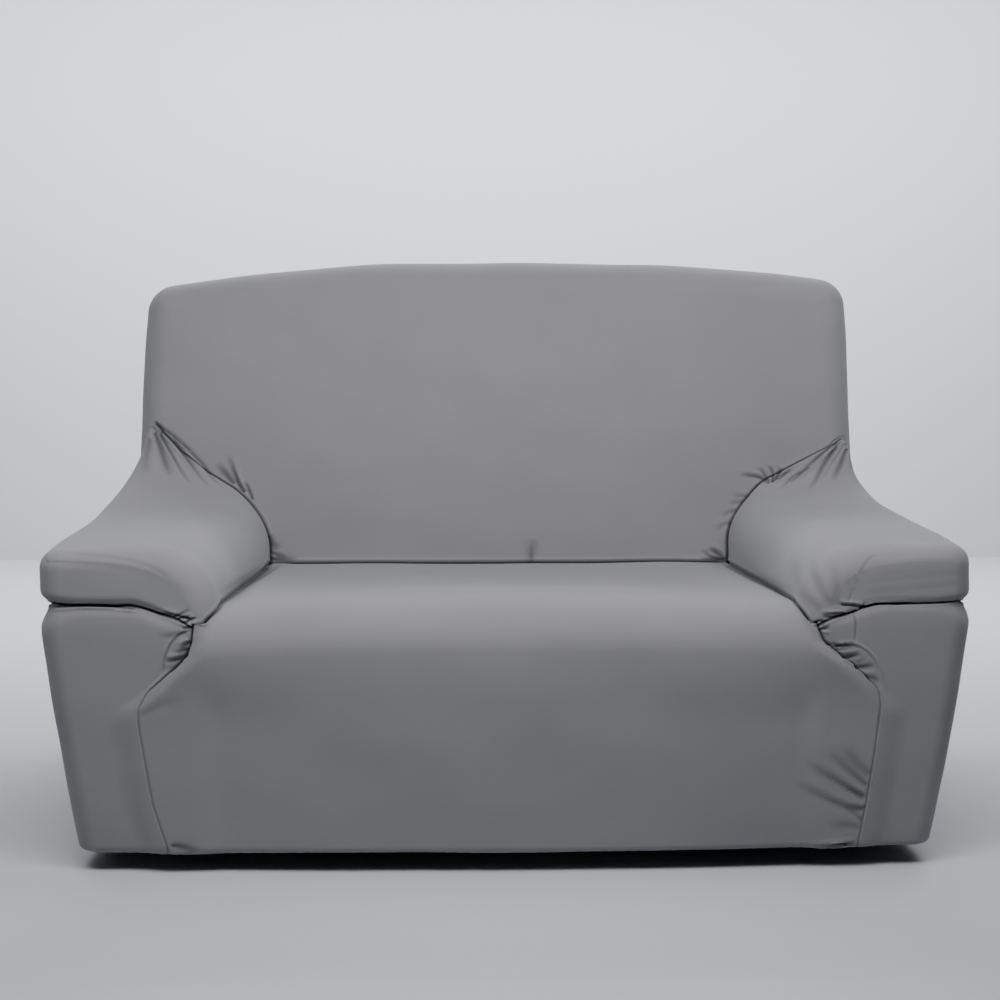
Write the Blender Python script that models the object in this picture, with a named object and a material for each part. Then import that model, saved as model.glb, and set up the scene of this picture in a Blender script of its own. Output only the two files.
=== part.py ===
"""A stretch cover for a two-seat sofa: seven sewn panels of knit, hanging in the shape of the sofa.

The sofa itself is not part of the model. Its form (two padded arms, a seat with a front apron
and a leaning back) is written as one signed field, in metres: below zero inside, zero on the
cloth. Every seam and tuck is a curve on that field, every panel is a net of patches stretched
between those curves, and every panel is then given the thickness of the cloth.

The shapes are written in the frame of the sofa: x runs to the right as one looks at the front,
y from the arms' front to the rear, and z up from the hem. The finished panels are moved so that
the origin is under the top of the back, where the sofa carries the cover.
"""

import bpy
import numpy as np

NAME = "sofa_slipcover"

# Cloth
SHEET = 0.002              # thickness of the knit
SEAM_GAP = 0.0003          # between two panels at a seam
HEM_TURN = 0.030           # the hem runs this far under the sofa
HEM_ROUND = 0.012          # radius of the cloth at the bottom edge
CLOTH_COLOUR = (0.235, 0.240, 0.255, 1.0)
CLOTH_ROUGHNESS = 0.85

# Back
HEIGHT = 1.001             # crown of the back above the hem
ORIGIN = np.array((0.0, 0.78, HEIGHT - SHEET))
REAR = 0.900               # outside back, behind the arms' front
REAR_ROUND = 0.045
BACK_HALF = 0.715          # half the back's width
BACK_CROWN = 0.0405        # how far the top falls from the middle to CROWN_HALF
CROWN_HALF = 0.674
CROWN_POWER = 2.8
CROWN_SHIFT = 0.045        # the crown lies a little to one side
BACK_CORNER = 0.046        # radius of the top corners, seen from the front
BACK_EDGE = 0.060          # radius between the inside back and the top and sides
BACK_FOOT = 0.545          # the inside back at the seat, behind the arms' front
BACK_LEAN = 0.22           # run back for each metre of rise
BACK_BELLY = 0.020         # how far the padding bulges forward
BELLY_FOOT = 0.37          # height where the belly starts, and how high it reaches above that
BELLY_RISE = 0.62
BACK_OUT_SPAN = (0.90, 0.77)   # heights between which the back's sides step out
TOP_CORNER_HEIGHT = 0.946  # where the back's top and side meet
SIDE_SEAM_HEIGHT = 0.640   # where the seam over the back's side reaches the rear

# Seat and apron
SEAT_TOP = 0.400
SEAT_CROWN = 0.010         # the seat's middle is this much higher, towards the front
SEAT_CROWN_HALF = 0.5
SEAT_CROWN_SPAN = (0.5, 0.2)   # the y's between which the crown rises
SEAT_NOSE = 0.080          # radius from the seat down to the apron
SEAT_EDGE = 0.030          # radius at the sides of the seat's nose
SEAM_STEP_OUT = 0.03       # low down the apron runs this far past its seam, into the arm's front
SEAM_STEP_SPAN = (0.27, 0.22)
APRON_BULGE = 0.010
APRON_BULGE_HALF = 0.58
APRON_BULGE_SPAN = (0.45, 0.25)
APRON_STEP = 0.004         # the apron stands this far in front of the arms, low down
NOSE_STEP = 0.013          # and this much more beside the nose
NOSE_STEP_MIDDLE = 0.6     # share of the nose's step in the middle of the front
NOSE_STEP_OUT = (0.25, 0.55)   # it changes between these distances from the middle
NOSE_STEP_SPAN = (0.20, 0.33)  # and between these heights

# Arms
TAPER = 0.0485             # each side draws in by this much
TAPER_TOP = 0.370          # from this height down to the hem
ARM_DEPTH = 0.53           # the arm's front to where its inner side meets the back
ARM_INNER_BACK = 0.452     # the arm's inner side there
ARM_FRONT_SET_BACK = 0.016
ARM_ROLL = 0.105           # radius from the arm's top down to the seat, at its front
ARM_ROLL_BACK = 0.080      # and at the back
ARM_ROLL_SPAN = (0.10, 0.50)
ARM_CORNER = 0.040         # radius of the arm's upright front corners
PAD_TOP = 0.490            # top of the arm pad at its front edge
PAD_RISE = 0.010           # it rises by this much just behind that edge
PAD_RISE_SPAN = (0.0, 0.12)
TOP_RISE_SPAN = (0.10, 0.55)   # the arm's top rises evenly between these y's
FALL_SPAN = (0.57, 0.73)   # the pad's outer edge falls between these distances from the middle
FALL_END = (0.60, 0.30)    # and in full in front of these y's
PAD_EDGE = 0.030           # radius of the pad's outer edge
PAD_EDGE_INNER = 0.042     # radius of the pad's front edge beside the seat
PAD_EDGE_SPAN = (0.67, 0.55)   # it changes between these distances from the middle
PAD_UNDER = 0.405          # height of the groove under the pad
GROOVE_LINE = 0.409        # height of the deepest line in the groove
GROOVE_DROP = 0.029        # the groove falls this far as it nears the seat
GROOVE_DROP_SPAN = (0.60, 0.50)
GROOVE_END = (0.60, 0.40)  # it dies out between these y's
GROOVE_IN = (0.500, 0.560) # and between these distances from the middle it grows to full depth
GROOVE_IN_SHARE = 0.1      # from this share of it
WEB_FROM = 0.440           # the web up the back's side starts this far from the middle
WEB_TO = 0.705             # and is highest here
WEB_POWER = 4              # how late its extra peak rises
SIDE_BULGE = 0.004         # the sides swell by this much under the groove
SMALL_FOLD = 0.004         # how softly two surfaces meet in a tuck
BACK_FOLD = 0.006
APRON_BLEND = 0.030        # how softly the low apron runs into the arm's front
APRON_BLEND_SPAN = (0.36, 0.20)

# The two arms are stretched unevenly: column names, then the arm at -X and the arm at +X. Of the
# web: its rise, extra peak and run forward; of the arm: half the width over both, the rise of its
# top to the rear, the fall of its outer edge, its lean inwards above a height; of its inner side:
# the place at the front and how it curves; of the back beside it: how far it steps out, and
# where the web's tip is; of the groove: its depth and width.
ARM_COLUMNS = ("half", "web_rise", "web_peak", "web_run", "top_rise", "edge_fall", "lean_in",
               "lean_from", "lean_over", "inner_front", "inner_power", "back_out", "tip_half",
               "groove_depth", "groove_width")
ARM_ROWS = {
    -1: (0.7445, 0.145, 0.062, 0.056, 0.002, 0.020, 0.041, 0.490, 0.17, 0.460, 1.7, 0.006, 0.684,
         0.013, 0.014),
    +1: (0.7475, 0.131, 0.000, 0.020, 0.020, 0.000, 0.034, 0.480, 0.10, 0.470, 0.9, 0.002, 0.684,
         0.010, 0.011),
}
ARMS = {side: dict(zip(ARM_COLUMNS, row)) for side, row in ARM_ROWS.items()}

# The seam between apron and arm front: height above the hem, then its distance from the middle
# at the arm at -X and at the arm at +X.
SEAM_COLUMNS = ("height", "left", "right")
SEAM_ROWS = (
    (0.000, 0.541, 0.568),
    (0.080, 0.566, 0.581),
    (0.157, 0.578, 0.591),
    (0.215, 0.586, 0.597),
    (0.240, 0.585, 0.599),
    (0.265, 0.572, 0.597),
    (0.305, 0.528, 0.556),
    (0.325, 0.509, 0.528),
    (0.345, 0.501, 0.506),
    (0.371, 0.497, 0.494),
)
SEAM = dict(zip(SEAM_COLUMNS, np.array(SEAM_ROWS).T))
SEAT_CORNER_HEIGHT = 0.373   # where seat, apron, arm and arm front meet
GROOVE_BELOW_CORNER = 0.014  # the groove under the pad ends this far down the seam

# The main pulls and gathers: where each starts, bends and ends, its width and depth there.
FOLD_COLUMNS = ("start", "middle", "end", "width", "depth")
FOLD_ROWS = (
    # the web stretched from the arm at -X up to its tip
    ((-0.686, 0.598, 0.671), (-0.641, 0.584, 0.638), (-0.545, 0.542, 0.543), 0.010, 0.005),
    ((-0.686, 0.592, 0.666), (-0.645, 0.570, 0.613), (-0.600, 0.529, 0.557), 0.011, 0.004),
    # the inside back gathered over the arm at -X
    ((-0.508, 0.566, 0.549), (-0.527, 0.572, 0.577), (-0.540, 0.579, 0.616), 0.010, 0.005),
    # the web at +X
    ((0.692, 0.602, 0.644), (0.650, 0.576, 0.607), (0.586, 0.554, 0.561), 0.010, 0.005),
    ((0.692, 0.600, 0.640), (0.666, 0.569, 0.598), (0.630, 0.537, 0.555), 0.010, 0.004),
    # the inside back gathered over the arm at +X
    ((0.550, 0.564, 0.561), (0.558, 0.571, 0.576), (0.565, 0.575, 0.596), 0.010, 0.004),
    # the seat's back corners
    ((-0.450, 0.542, 0.409), (-0.434, 0.543, 0.408), (-0.398, 0.543, 0.404), 0.010, 0.004),
    ((0.446, 0.543, 0.405), (0.432, 0.545, 0.417), (0.414, 0.547, 0.427), 0.010, 0.004),
    # gathers where seat, apron and arm meet
    ((-0.503, 0.001, 0.336), (-0.515, 0.002, 0.326), (-0.542, 0.002, 0.311), 0.009, 0.004),
    ((0.515, 0.001, 0.333), (0.534, 0.001, 0.334), (0.560, 0.001, 0.337), 0.009, 0.004),
    ((0.536, 0.000, 0.315), (0.556, 0.002, 0.309), (0.592, 0.003, 0.298), 0.010, 0.003),
    # pulls in the apron towards the seam at +X
    ((0.580, 0.002, 0.107), (0.556, 0.000, 0.128), (0.516, -0.001, 0.163), 0.013, 0.004),
    ((0.577, 0.003, 0.084), (0.541, 0.001, 0.109), (0.482, -0.001, 0.146), 0.013, 0.003),
    ((0.577, 0.003, 0.065), (0.539, 0.002, 0.075), (0.464, 0.002, 0.112), 0.013, 0.003),
)
FOLDS = [dict(zip(FOLD_COLUMNS, row)) for row in FOLD_ROWS]

# Numbers of cells along the shared curves
ACROSS = 18        # the seat's width
ALONG_ARM = 14     # from the seat's front corner to the back
OVER_ARM = 16      # from the seat to the pad's outer edge
PAD_CELLS = 4      # down the pad's front
DOWN = 7           # from the groove to the hem
UP_BACK = 7        # from the arm to the back's top corner
OVER_BACK = 7      # from the inside back's edge to the rear
HEM_CELLS = 3      # round the bottom edge to the hem


def unit(t):
    """t held between 0 and 1."""
    return np.clip(t, 0.0, 1.0)


def ease(t):
    """A smooth step from 0 to 1."""
    t = unit(t)
    return t * t * (3.0 - 2.0 * t)


def step(value, span):
    """A smooth step from 0 at the span's first value to 1 at its second."""
    return ease((value - span[0]) / (span[1] - span[0]))


def mix(a, b, t):
    """a where t is 0, b where t is 1."""
    return a + (b - a) * t


def round_max(a, b, radius):
    """The overlap of two distances, with their edge rounded to a radius."""
    a, b = a + radius, b + radius
    corner = np.hypot(np.maximum(a, 0.0), np.maximum(b, 0.0))
    return corner + np.minimum(np.maximum(a, b), 0.0) - radius


def soft_min(a, b, blend):
    """The union of two distances, with a small fillet where they cross."""
    t = unit(0.5 + 0.5 * (b - a) / blend)
    return mix(b, a, t) - blend * t * (1.0 - t)


def split(points):
    """The x, y and z of an array of points."""
    return points[..., 0], points[..., 1], points[..., 2]


def arm_value(x, name):
    """A column of the arm table, for the arm on x's side."""
    return np.where(x < 0.0, ARMS[-1][name], ARMS[1][name])


def back_face(x, z):
    """The y of the inside back."""
    belly = BACK_BELLY * np.sin(np.pi * unit((z - BELLY_FOOT) / BELLY_RISE))
    return BACK_FOOT + BACK_LEAN * (z - SEAT_TOP) - belly * (1.0 - x ** 2)


def lowness(z):
    """0 above the height where the sides draw in, 1 at the hem."""
    return unit((TAPER_TOP - z) / TAPER_TOP)


def arm_front(z):
    """The y of the arms' front below the pads."""
    return ARM_FRONT_SET_BACK * lowness(z)


def arm(points):
    """Distance to the nearer arm, with the cloth that is stretched from it up the back's side."""
    x, y, z = split(points)
    out = np.abs(x)
    fall = arm_value(x, "edge_fall") * step(out, FALL_SPAN) * step(y, FALL_END)
    rise = arm_value(x, "top_rise") * unit((y - TOP_RISE_SPAN[0]) / np.ptp(TOP_RISE_SPAN))
    level = PAD_TOP + PAD_RISE * step(y, PAD_RISE_SPAN) + rise - fall
    behind = np.maximum(back_face(x, z) - y, 0.0)
    run = arm_value(x, "web_run")
    spread = unit((out - WEB_FROM) / (WEB_TO - WEB_FROM))
    web = arm_value(x, "web_rise") * spread + arm_value(x, "web_peak") * spread ** WEB_POWER
    web = web * run / (run + behind)
    top = (z - level - web) / np.hypot(1.0, web / (run + behind))

    lean = arm_value(x, "lean_in") * ease((z - arm_value(x, "lean_from")) / arm_value(x, "lean_over"))
    bulge = SIDE_BULGE * np.sin(np.pi * unit(z / PAD_UNDER))
    outer = out - (arm_value(x, "half") + bulge - TAPER * lowness(z) - lean)
    forward = unit(1.0 - y / ARM_DEPTH) ** arm_value(x, "inner_power")
    inner = mix(ARM_INNER_BACK, arm_value(x, "inner_front"), forward) - out

    shape = round_max(top, inner, mix(ARM_ROLL, ARM_ROLL_BACK, step(y, ARM_ROLL_SPAN)))
    shape = round_max(shape, round_max(outer, arm_front(z) - y, ARM_CORNER),
                      mix(PAD_EDGE, PAD_EDGE_INNER, step(out, PAD_EDGE_SPAN)))
    line = PAD_UNDER - GROOVE_DROP * step(out, GROOVE_DROP_SPAN)
    depth = arm_value(x, "groove_depth") * step(y, GROOVE_END)
    depth = depth * mix(GROOVE_IN_SHARE, 1.0, step(out, GROOVE_IN))
    return shape + depth * np.exp(-((z - line) / arm_value(x, "groove_width")) ** 2)


def seam_half(x, z):
    """How far the apron's seam is from the middle at a height."""
    left = np.interp(z, SEAM["height"], SEAM["left"])
    right = np.interp(z, SEAM["height"], SEAM["right"])
    return np.where(x < 0.0, left, right)


def seat(points):
    """Distance to the seat and its apron."""
    x, y, z = split(points)
    out = np.abs(x)
    side = out - seam_half(x, z) - SEAM_STEP_OUT * step(z, SEAM_STEP_SPAN)
    beside_nose = mix(NOSE_STEP_MIDDLE, step(z, NOSE_STEP_SPAN), step(out, NOSE_STEP_OUT))
    bulge = APRON_BULGE * (1.0 - (x / APRON_BULGE_HALF) ** 2) * step(z, APRON_BULGE_SPAN)
    front = arm_front(z) - APRON_STEP - NOSE_STEP * beside_nose - bulge
    top = SEAT_TOP + SEAT_CROWN * (1.0 - (x / SEAT_CROWN_HALF) ** 2) * step(y, SEAT_CROWN_SPAN)
    return round_max(round_max(z - top, front - y, SEAT_NOSE), side, SEAT_EDGE)


def back(points):
    """Distance to the back, which has no rear yet."""
    x, y, z = split(points)
    half = BACK_HALF + arm_value(x, "back_out") * step(z, BACK_OUT_SPAN) - TAPER * lowness(z)
    top = HEIGHT - BACK_CROWN * (np.abs(x - CROWN_SHIFT) / CROWN_HALF) ** CROWN_POWER
    outline = round_max(np.abs(x) - half, z - top, BACK_CORNER)
    return round_max(outline, back_face(x, z) - y, BACK_EDGE)


def body(points):
    """Distance to arms, seat and back together, which have no rear yet."""
    blend = mix(SMALL_FOLD, APRON_BLEND, step(points[..., 2], APRON_BLEND_SPAN))
    return soft_min(soft_min(arm(points), seat(points), blend), back(points), BACK_FOLD)


def fold_path(fold, steps=6):
    """Points along a fold, an arc that passes its three points."""
    start, middle, end = (np.array(fold[name]) for name in FOLD_COLUMNS[:3])
    t = np.linspace(0.0, 1.0, steps + 1)[:, None]
    return start * (1.0 - t) * (1.0 - 2.0 * t) + middle * 4.0 * t * (1.0 - t) + end * t * (2.0 * t - 1.0)


FOLD_PATHS = [fold_path(fold) for fold in FOLDS]


def folds(points):
    """How far the folds draw the cloth in: narrow where each starts, fading where it ends."""
    drawn = np.zeros(points.shape[:-1])
    for fold, path in zip(FOLDS, FOLD_PATHS):
        reach = 3.0 * fold["width"]
        near = np.all((points > path.min(axis=0) - reach) & (points < path.max(axis=0) + reach),
                      axis=-1)
        close = points[near]
        best = np.full(len(close), np.inf)
        along = np.zeros(len(close))
        for step, (first, last) in enumerate(zip(path[:-1], path[1:])):
            run = last - first
            t = unit((close - first) @ run / (run @ run))
            away = np.linalg.norm(close - first - t[:, None] * run, axis=1)
            along = np.where(away < best, (step + t) / (len(path) - 1), along)
            best = np.minimum(best, away)
        width = fold["width"] * mix(0.6, 1.3, along)
        drawn[near] += fold["depth"] * (1.0 - along ** 3) * np.exp(-(best / width) ** 2)
    return drawn


def rear(points):
    """Distance past the outside back."""
    return points[..., 1] - REAR


def covered(part):
    """The field of the cloth that lies on a part of the sofa, or on the whole: zero outside it."""
    return lambda points: round_max(part(points) + folds(points), rear(points), REAR_ROUND)


cover = covered(body)


def arm_meets_seat(points):
    """Zero in the tuck between an arm and the seat."""
    return arm(points) - seat(points)


def arm_meets_back(points):
    """Zero in the tuck between an arm and the back."""
    return arm(points) - back(points)


def seat_meets_back(points):
    """Zero in the tuck between the seat and the back."""
    return seat(points) - back(points)


def rear_edge(points):
    """Zero half way round the edge between the body and its rear."""
    return body(points) - rear(points)


def at_height(height):
    """A condition that holds points at a height."""
    return lambda points: points[..., 2] - height


def at_half(half):
    """A condition that holds points at a distance from the middle."""
    return lambda points: np.abs(points[..., 0]) - half


def slope(field, points, step=0.0002):
    """The gradient of a field, by central differences."""
    columns = []
    for axis in np.eye(3) * step:
        columns.append((field(points + axis) - field(points - axis)) / (2.0 * step))
    return np.stack(columns, axis=-1)


def settle(points, *fields, rounds=16, longest=0.03):
    """Points moved the shortest way to where all the fields are zero."""
    points = np.array(points, dtype=float)
    for _ in range(rounds):
        value = np.stack([field(points) for field in fields], axis=-1)
        turn = np.stack([slope(field, points) for field in fields], axis=-2)
        move = -np.einsum("...ij,...j->...i", np.linalg.pinv(turn), value)
        length = np.linalg.norm(move, axis=-1, keepdims=True)
        points += move * np.minimum(1.0, longest / np.maximum(length, 1e-9))
    return points


def outward(points, cloth=cover):
    """The direction out of the cloth at each point."""
    turn = slope(cloth, points)
    return turn / np.linalg.norm(turn, axis=-1, keepdims=True)


def travel(points):
    """Distance along a curve from its start, as a share of its length."""
    steps = np.linalg.norm(np.diff(points, axis=0), axis=1)
    run = np.concatenate([[0.0], np.cumsum(steps)])
    return run / run[-1]


def take(points, shares):
    """The points of a curve at shares of its length."""
    run = travel(points)
    return np.stack([np.interp(shares, run, points[:, axis]) for axis in range(3)], axis=1)


def gather(cells, start=0.0, end=0.0):
    """Shares from 0 to 1 for a number of cells, drawn together at the start and at the end."""
    middle = (np.arange(cells) + 0.5) / cells
    step = 1.0 - start * np.exp(-middle / 0.15) - end * np.exp(-(1.0 - middle) / 0.15)
    return np.concatenate([[0.0], np.cumsum(step)]) / step.sum()


def through(guides, samples=160):
    """A smooth curve through a few guide points, a Catmull-Rom spline."""
    guides = np.array(guides, dtype=float)
    ends = np.vstack([2.0 * guides[0] - guides[1], guides, 2.0 * guides[-1] - guides[-2]])
    places = np.linspace(0.0, len(guides) - 1.0, samples)
    first = np.minimum(places.astype(int), len(guides) - 2)
    t = (places - first)[:, None]
    a, b, c, d = (ends[first + k] for k in range(4))
    return 0.5 * (2.0 * b + (c - a) * t + (2.0 * a - 5.0 * b + 4.0 * c - d) * t ** 2
                  + (3.0 * b - a - 3.0 * c + d) * t ** 3)


def curve(guides, shares, *fields):
    """A curve on the cover near some guide points, on the given conditions, at given shares."""
    fixed = np.array([guides[0], guides[-1]], dtype=float)
    points = settle(through(guides), cover, *fields)
    points[[0, -1]] = fixed
    points = settle(take(points, shares), cover, *fields)
    points[[0, -1]] = fixed
    return points


def corner(guess, *fields):
    """One point of the cover on the given conditions."""
    return settle(np.array(guess, dtype=float)[None], cover, *fields)[0]


def join(*curves):
    """Curves end to end as one row of points."""
    rows = [curves[0]] + [piece[1:] for piece in curves[1:]]
    return np.concatenate(rows)


def patch(bottom, top, left, right, cloth=cover):
    """A net on the cloth between four curves: a Coons patch, settled and then spaced evenly."""
    v_left, v_right = travel(left)[:, None], travel(right)[:, None]
    u_bottom, u_top = travel(bottom)[None], travel(top)[None]
    u = mix(u_bottom, u_top, 0.5 * (v_left + v_right))
    v = mix(v_left, v_right, u)
    u, v = u[..., None], v[..., None]
    between = mix(bottom[None], top[None], v) + mix(left[:, None], right[:, None], u)
    flat = mix(mix(bottom[0], bottom[-1], u), mix(top[0], top[-1], u), v)
    net = settle(between - flat, cloth)
    for _ in range(2):
        for column in range(1, net.shape[1] - 1):
            net[:, column] = take(net[:, column], v[:, column, 0])
        net = settle(net, cloth, rounds=6)
        net[0], net[-1], net[:, 0], net[:, -1] = bottom, top, left, right
    return net


def wall(bottom, top, left, right, part=body):
    """A net between four curves on a part of the sofa, with its directions out of the cloth.
    Along its edges it takes the directions that it shares with its neighbours."""
    net = patch(bottom, top, left, right, covered(part))
    normals = outward(net, covered(part))
    shared = outward(net)
    for edge in (np.s_[0], np.s_[-1], np.s_[:, 0], np.s_[:, -1]):
        normals[edge] = shared[edge]
    return net, normals


def hem(edge):
    """The cloth from the foot of a wall round the bottom edge and under, with its directions."""
    level = outward(edge) * (1.0, 1.0, 0.0)
    level /= np.linalg.norm(level, axis=1, keepdims=True)
    angle = np.radians(np.linspace(0.0, 90.0, HEM_CELLS))[:, None, None]
    down = np.array((0.0, 0.0, -1.0))
    normals = level * np.cos(angle) + down * np.sin(angle)
    points = edge + HEM_ROUND * (normals - level)
    points = np.concatenate([points, points[-1:] - level * (HEM_TURN - HEM_ROUND)])
    return points, np.concatenate([normals, normals[-1:]])


def on_seam(points):
    """Zero where the apron's seam runs."""
    return np.abs(points[..., 0]) - seam_half(points[..., 0], points[..., 2])


def seam_point(side, height):
    """A point near the apron's seam at a height."""
    key = "left" if side < 0 else "right"
    return np.array((side * np.interp(height, SEAM["height"], SEAM[key]), 0.0, height))


def side_corners(side):
    """The named corners at one arm; side is -1 or +1."""
    low = HEM_ROUND
    groove = SEAT_CORNER_HEIGHT - GROOVE_BELOW_CORNER
    tip_half = ARMS[side]["tip_half"]
    guesses = {
        "seat_back": ((0.445, 0.530, 0.405), arm_meets_seat, seat_meets_back),
        "tip": ((tip_half, 0.600, 0.660), arm_meets_back, at_half(tip_half)),
        "pad_corner": ((0.722, 0.014, 0.470),),
        "groove_out": ((0.716, 0.020, GROOVE_LINE), at_height(GROOVE_LINE)),
        "foot_corner": ((0.680, 0.030, low), at_height(low)),
        "seam_rear": ((0.705, 0.885, SIDE_SEAM_HEIGHT), rear_edge, at_height(SIDE_SEAM_HEIGHT)),
        "groove_rear": ((0.725, 0.885, GROOVE_LINE), rear_edge, at_height(GROOVE_LINE)),
        "foot_rear": ((0.682, 0.885, low), rear_edge, at_height(low)),
        "top_front": ((0.700, 0.660, 0.925), at_height(TOP_CORNER_HEIGHT)),
        "top_rear": ((0.700, 0.850, 0.925), rear_edge, at_height(TOP_CORNER_HEIGHT)),
    }
    corners = {}
    for name, (guess, *conditions) in guesses.items():
        corners[name] = corner(np.array(guess) * (side, 1.0, 1.0), *conditions)
    corners["seat_front"] = corner(seam_point(side, SEAT_CORNER_HEIGHT), arm_meets_seat,
                                   at_height(SEAT_CORNER_HEIGHT))
    corners["groove_in"] = corner(seam_point(side, groove), on_seam, at_height(groove))
    corners["seam_foot"] = corner(seam_point(side, low), on_seam, at_height(low))
    return corners


def side_curves(side):
    """The named curves at one arm; side is -1 or +1."""
    at = side_corners(side)
    low = HEM_ROUND
    down = gather(DOWN, 0.5, 0.3)
    pad = gather(PAD_CELLS, 0.2, 0.5)
    along = gather(ALONG_ARM, 0.4, 0.3)
    over = gather(OVER_ARM, 0.5, 0.5)
    up = gather(UP_BACK, 0.4, 0.5)
    beside = join(along * 0.62, 0.62 + 0.38 * gather(OVER_BACK))
    heights = np.linspace(SEAT_CORNER_HEIGHT - GROOVE_BELOW_CORNER, low, 9)[1:-1]
    seam_guides = [seam_point(side, height) for height in heights]

    def run(first, guides, last, shares, *conditions):
        middle = [np.array(guide) * (side, 1.0, 1.0) for guide in guides]
        return curve([at[first], *middle, at[last]], shares, *conditions)

    return {
        "arm_tuck": run("seat_back", ((0.462, 0.30, 0.41), (0.482, 0.10, 0.405)), "seat_front",
                        1.0 - along[::-1], arm_meets_seat),
        "back_tuck": run("seat_back", ((0.440, 0.530, 0.450), (0.462, 0.545, 0.505),
                                       (0.530, 0.565, 0.555), (0.600, 0.580, 0.595)), "tip",
                         over, arm_meets_back),
        "seam_top": run("seat_front", (), "groove_in", pad, on_seam),
        "seam": curve([at["groove_in"], *seam_guides, at["seam_foot"]], down, on_seam),
        "rim": run("seat_front", ((0.512, 0.005, 0.408), (0.538, 0.002, 0.440),
                                  (0.575, 0.004, 0.460), (0.640, 0.004, 0.470)), "pad_corner",
                   over),
        "pad_edge": run("pad_corner", ((0.733, 0.100, 0.488), (0.733, 0.340, 0.500),
                                       (0.730, 0.500, 0.535), (0.718, 0.570, 0.590)), "tip",
                        along),
        "side_seam": run("tip", ((0.714, 0.680, 0.655), (0.715, 0.780, 0.645)), "seam_rear",
                         gather(OVER_BACK, 0.3, 0.3)),
        "groove": run("groove_in", ((0.530, 0.006, 0.386), (0.572, 0.012, 0.398),
                                    (0.612, 0.014, 0.406), (0.660, 0.014, GROOVE_LINE)),
                      "groove_out", over),
        "corner_pad": run("pad_corner", (), "groove_out", pad),
        "corner_low": run("groove_out", ((0.716, 0.016, 0.30), (0.700, 0.020, 0.12)),
                          "foot_corner", down),
        "groove_side": run("groove_out", ((0.738, 0.30, GROOVE_LINE), (0.738, 0.60, GROOVE_LINE)),
                           "groove_rear", beside),
        "rear_pad": run("seam_rear", (), "groove_rear", pad, rear_edge),
        "rear_low": run("groove_rear", ((0.722, 0.886, 0.25),), "foot_rear", down, rear_edge),
        "foot_front": run("seam_foot", (), "foot_corner", over, at_height(low)),
        "foot_side": run("foot_corner", ((0.696, 0.30, low), (0.696, 0.60, low)), "foot_rear",
                         beside, at_height(low)),
        "edge_up": run("tip", ((0.700, 0.618, 0.75), (0.700, 0.640, 0.85)), "top_front", up),
        "rear_up": run("seam_rear", ((0.700, 0.886, 0.80),), "top_rear", up, rear_edge),
    }


def all_curves():
    """The curves of both arms, and those that run from side to side."""
    left, right = side_curves(-1), side_curves(1)
    across = gather(ACROSS, 0.35, 0.35)
    low = HEM_ROUND
    middle = {
        "seat_tuck": curve([left["arm_tuck"][0], (0.0, 0.54, 0.405), right["arm_tuck"][0]], across,
                           seat_meets_back),
        "foot": curve([left["seam"][-1], (0.0, -0.01, low), right["seam"][-1]], across,
                      at_height(low)),
        "top_edge": curve([left["edge_up"][-1], (-0.600, 0.695, 0.966), (-0.400, 0.700, 0.975),
                           (0.0, 0.700, 0.985), (0.400, 0.700, 0.975), (0.600, 0.695, 0.966),
                           right["edge_up"][-1]], across),
        "rear_top": curve([left["rear_up"][-1], (-0.600, 0.886, 0.966), (-0.400, 0.886, 0.980),
                           (0.0, 0.886, 0.988), (0.400, 0.886, 0.980), (0.600, 0.886, 0.966),
                           right["rear_up"][-1]], across, rear_edge),
        "foot_rear": curve([left["rear_low"][-1], (0.0, REAR, low), right["rear_low"][-1]], across,
                           at_height(low)),
    }
    return left, middle, right


def panel_nets():
    """The nets of each panel, by the panel's name."""
    left, middle, right = all_curves()
    nets = {}

    def column(curves):
        return join(curves["arm_tuck"], curves["seam_top"], curves["seam"])

    top_and_apron = wall(middle["seat_tuck"], middle["foot"], column(left), column(right))
    nets["seat_and_apron"] = [top_and_apron, hem(middle["foot"])]

    face = wall(middle["seat_tuck"], middle["top_edge"], join(left["back_tuck"], left["edge_up"]),
                join(right["back_tuck"], right["edge_up"]), back)
    rim_front = join(left["edge_up"], middle["top_edge"], right["edge_up"][::-1])
    rim_rear = join(left["rear_up"], middle["rear_top"], right["rear_up"][::-1])
    band = wall(rim_front, rim_rear, left["side_seam"], right["side_seam"])
    nets["inside_back"] = [face, band]

    def rear_column(curves):
        return join(curves["rear_up"][::-1], curves["rear_pad"], curves["rear_low"])

    panel = wall(middle["rear_top"], middle["foot_rear"], rear_column(left), rear_column(right))
    nets["outside_back"] = [panel, hem(middle["foot_rear"])]

    for name, curves in (("left", left), ("right", right)):
        nets["arm_" + name] = [wall(curves["arm_tuck"][::-1], curves["pad_edge"], curves["rim"],
                                    curves["back_tuck"], arm)]
        top_side = join(curves["pad_edge"], curves["side_seam"])
        quarters = (
            (curves["rim"], curves["groove"], curves["seam_top"], curves["corner_pad"]),
            (curves["groove"], curves["foot_front"], curves["seam"], curves["corner_low"]),
            (top_side, curves["groove_side"], curves["corner_pad"], curves["rear_pad"]),
            (curves["groove_side"], curves["foot_side"], curves["corner_low"], curves["rear_low"]),
        )
        foot = join(curves["foot_front"], curves["foot_side"])
        nets["side_" + name] = [wall(*quarter) for quarter in quarters] + [hem(foot)]
    return nets


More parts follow.
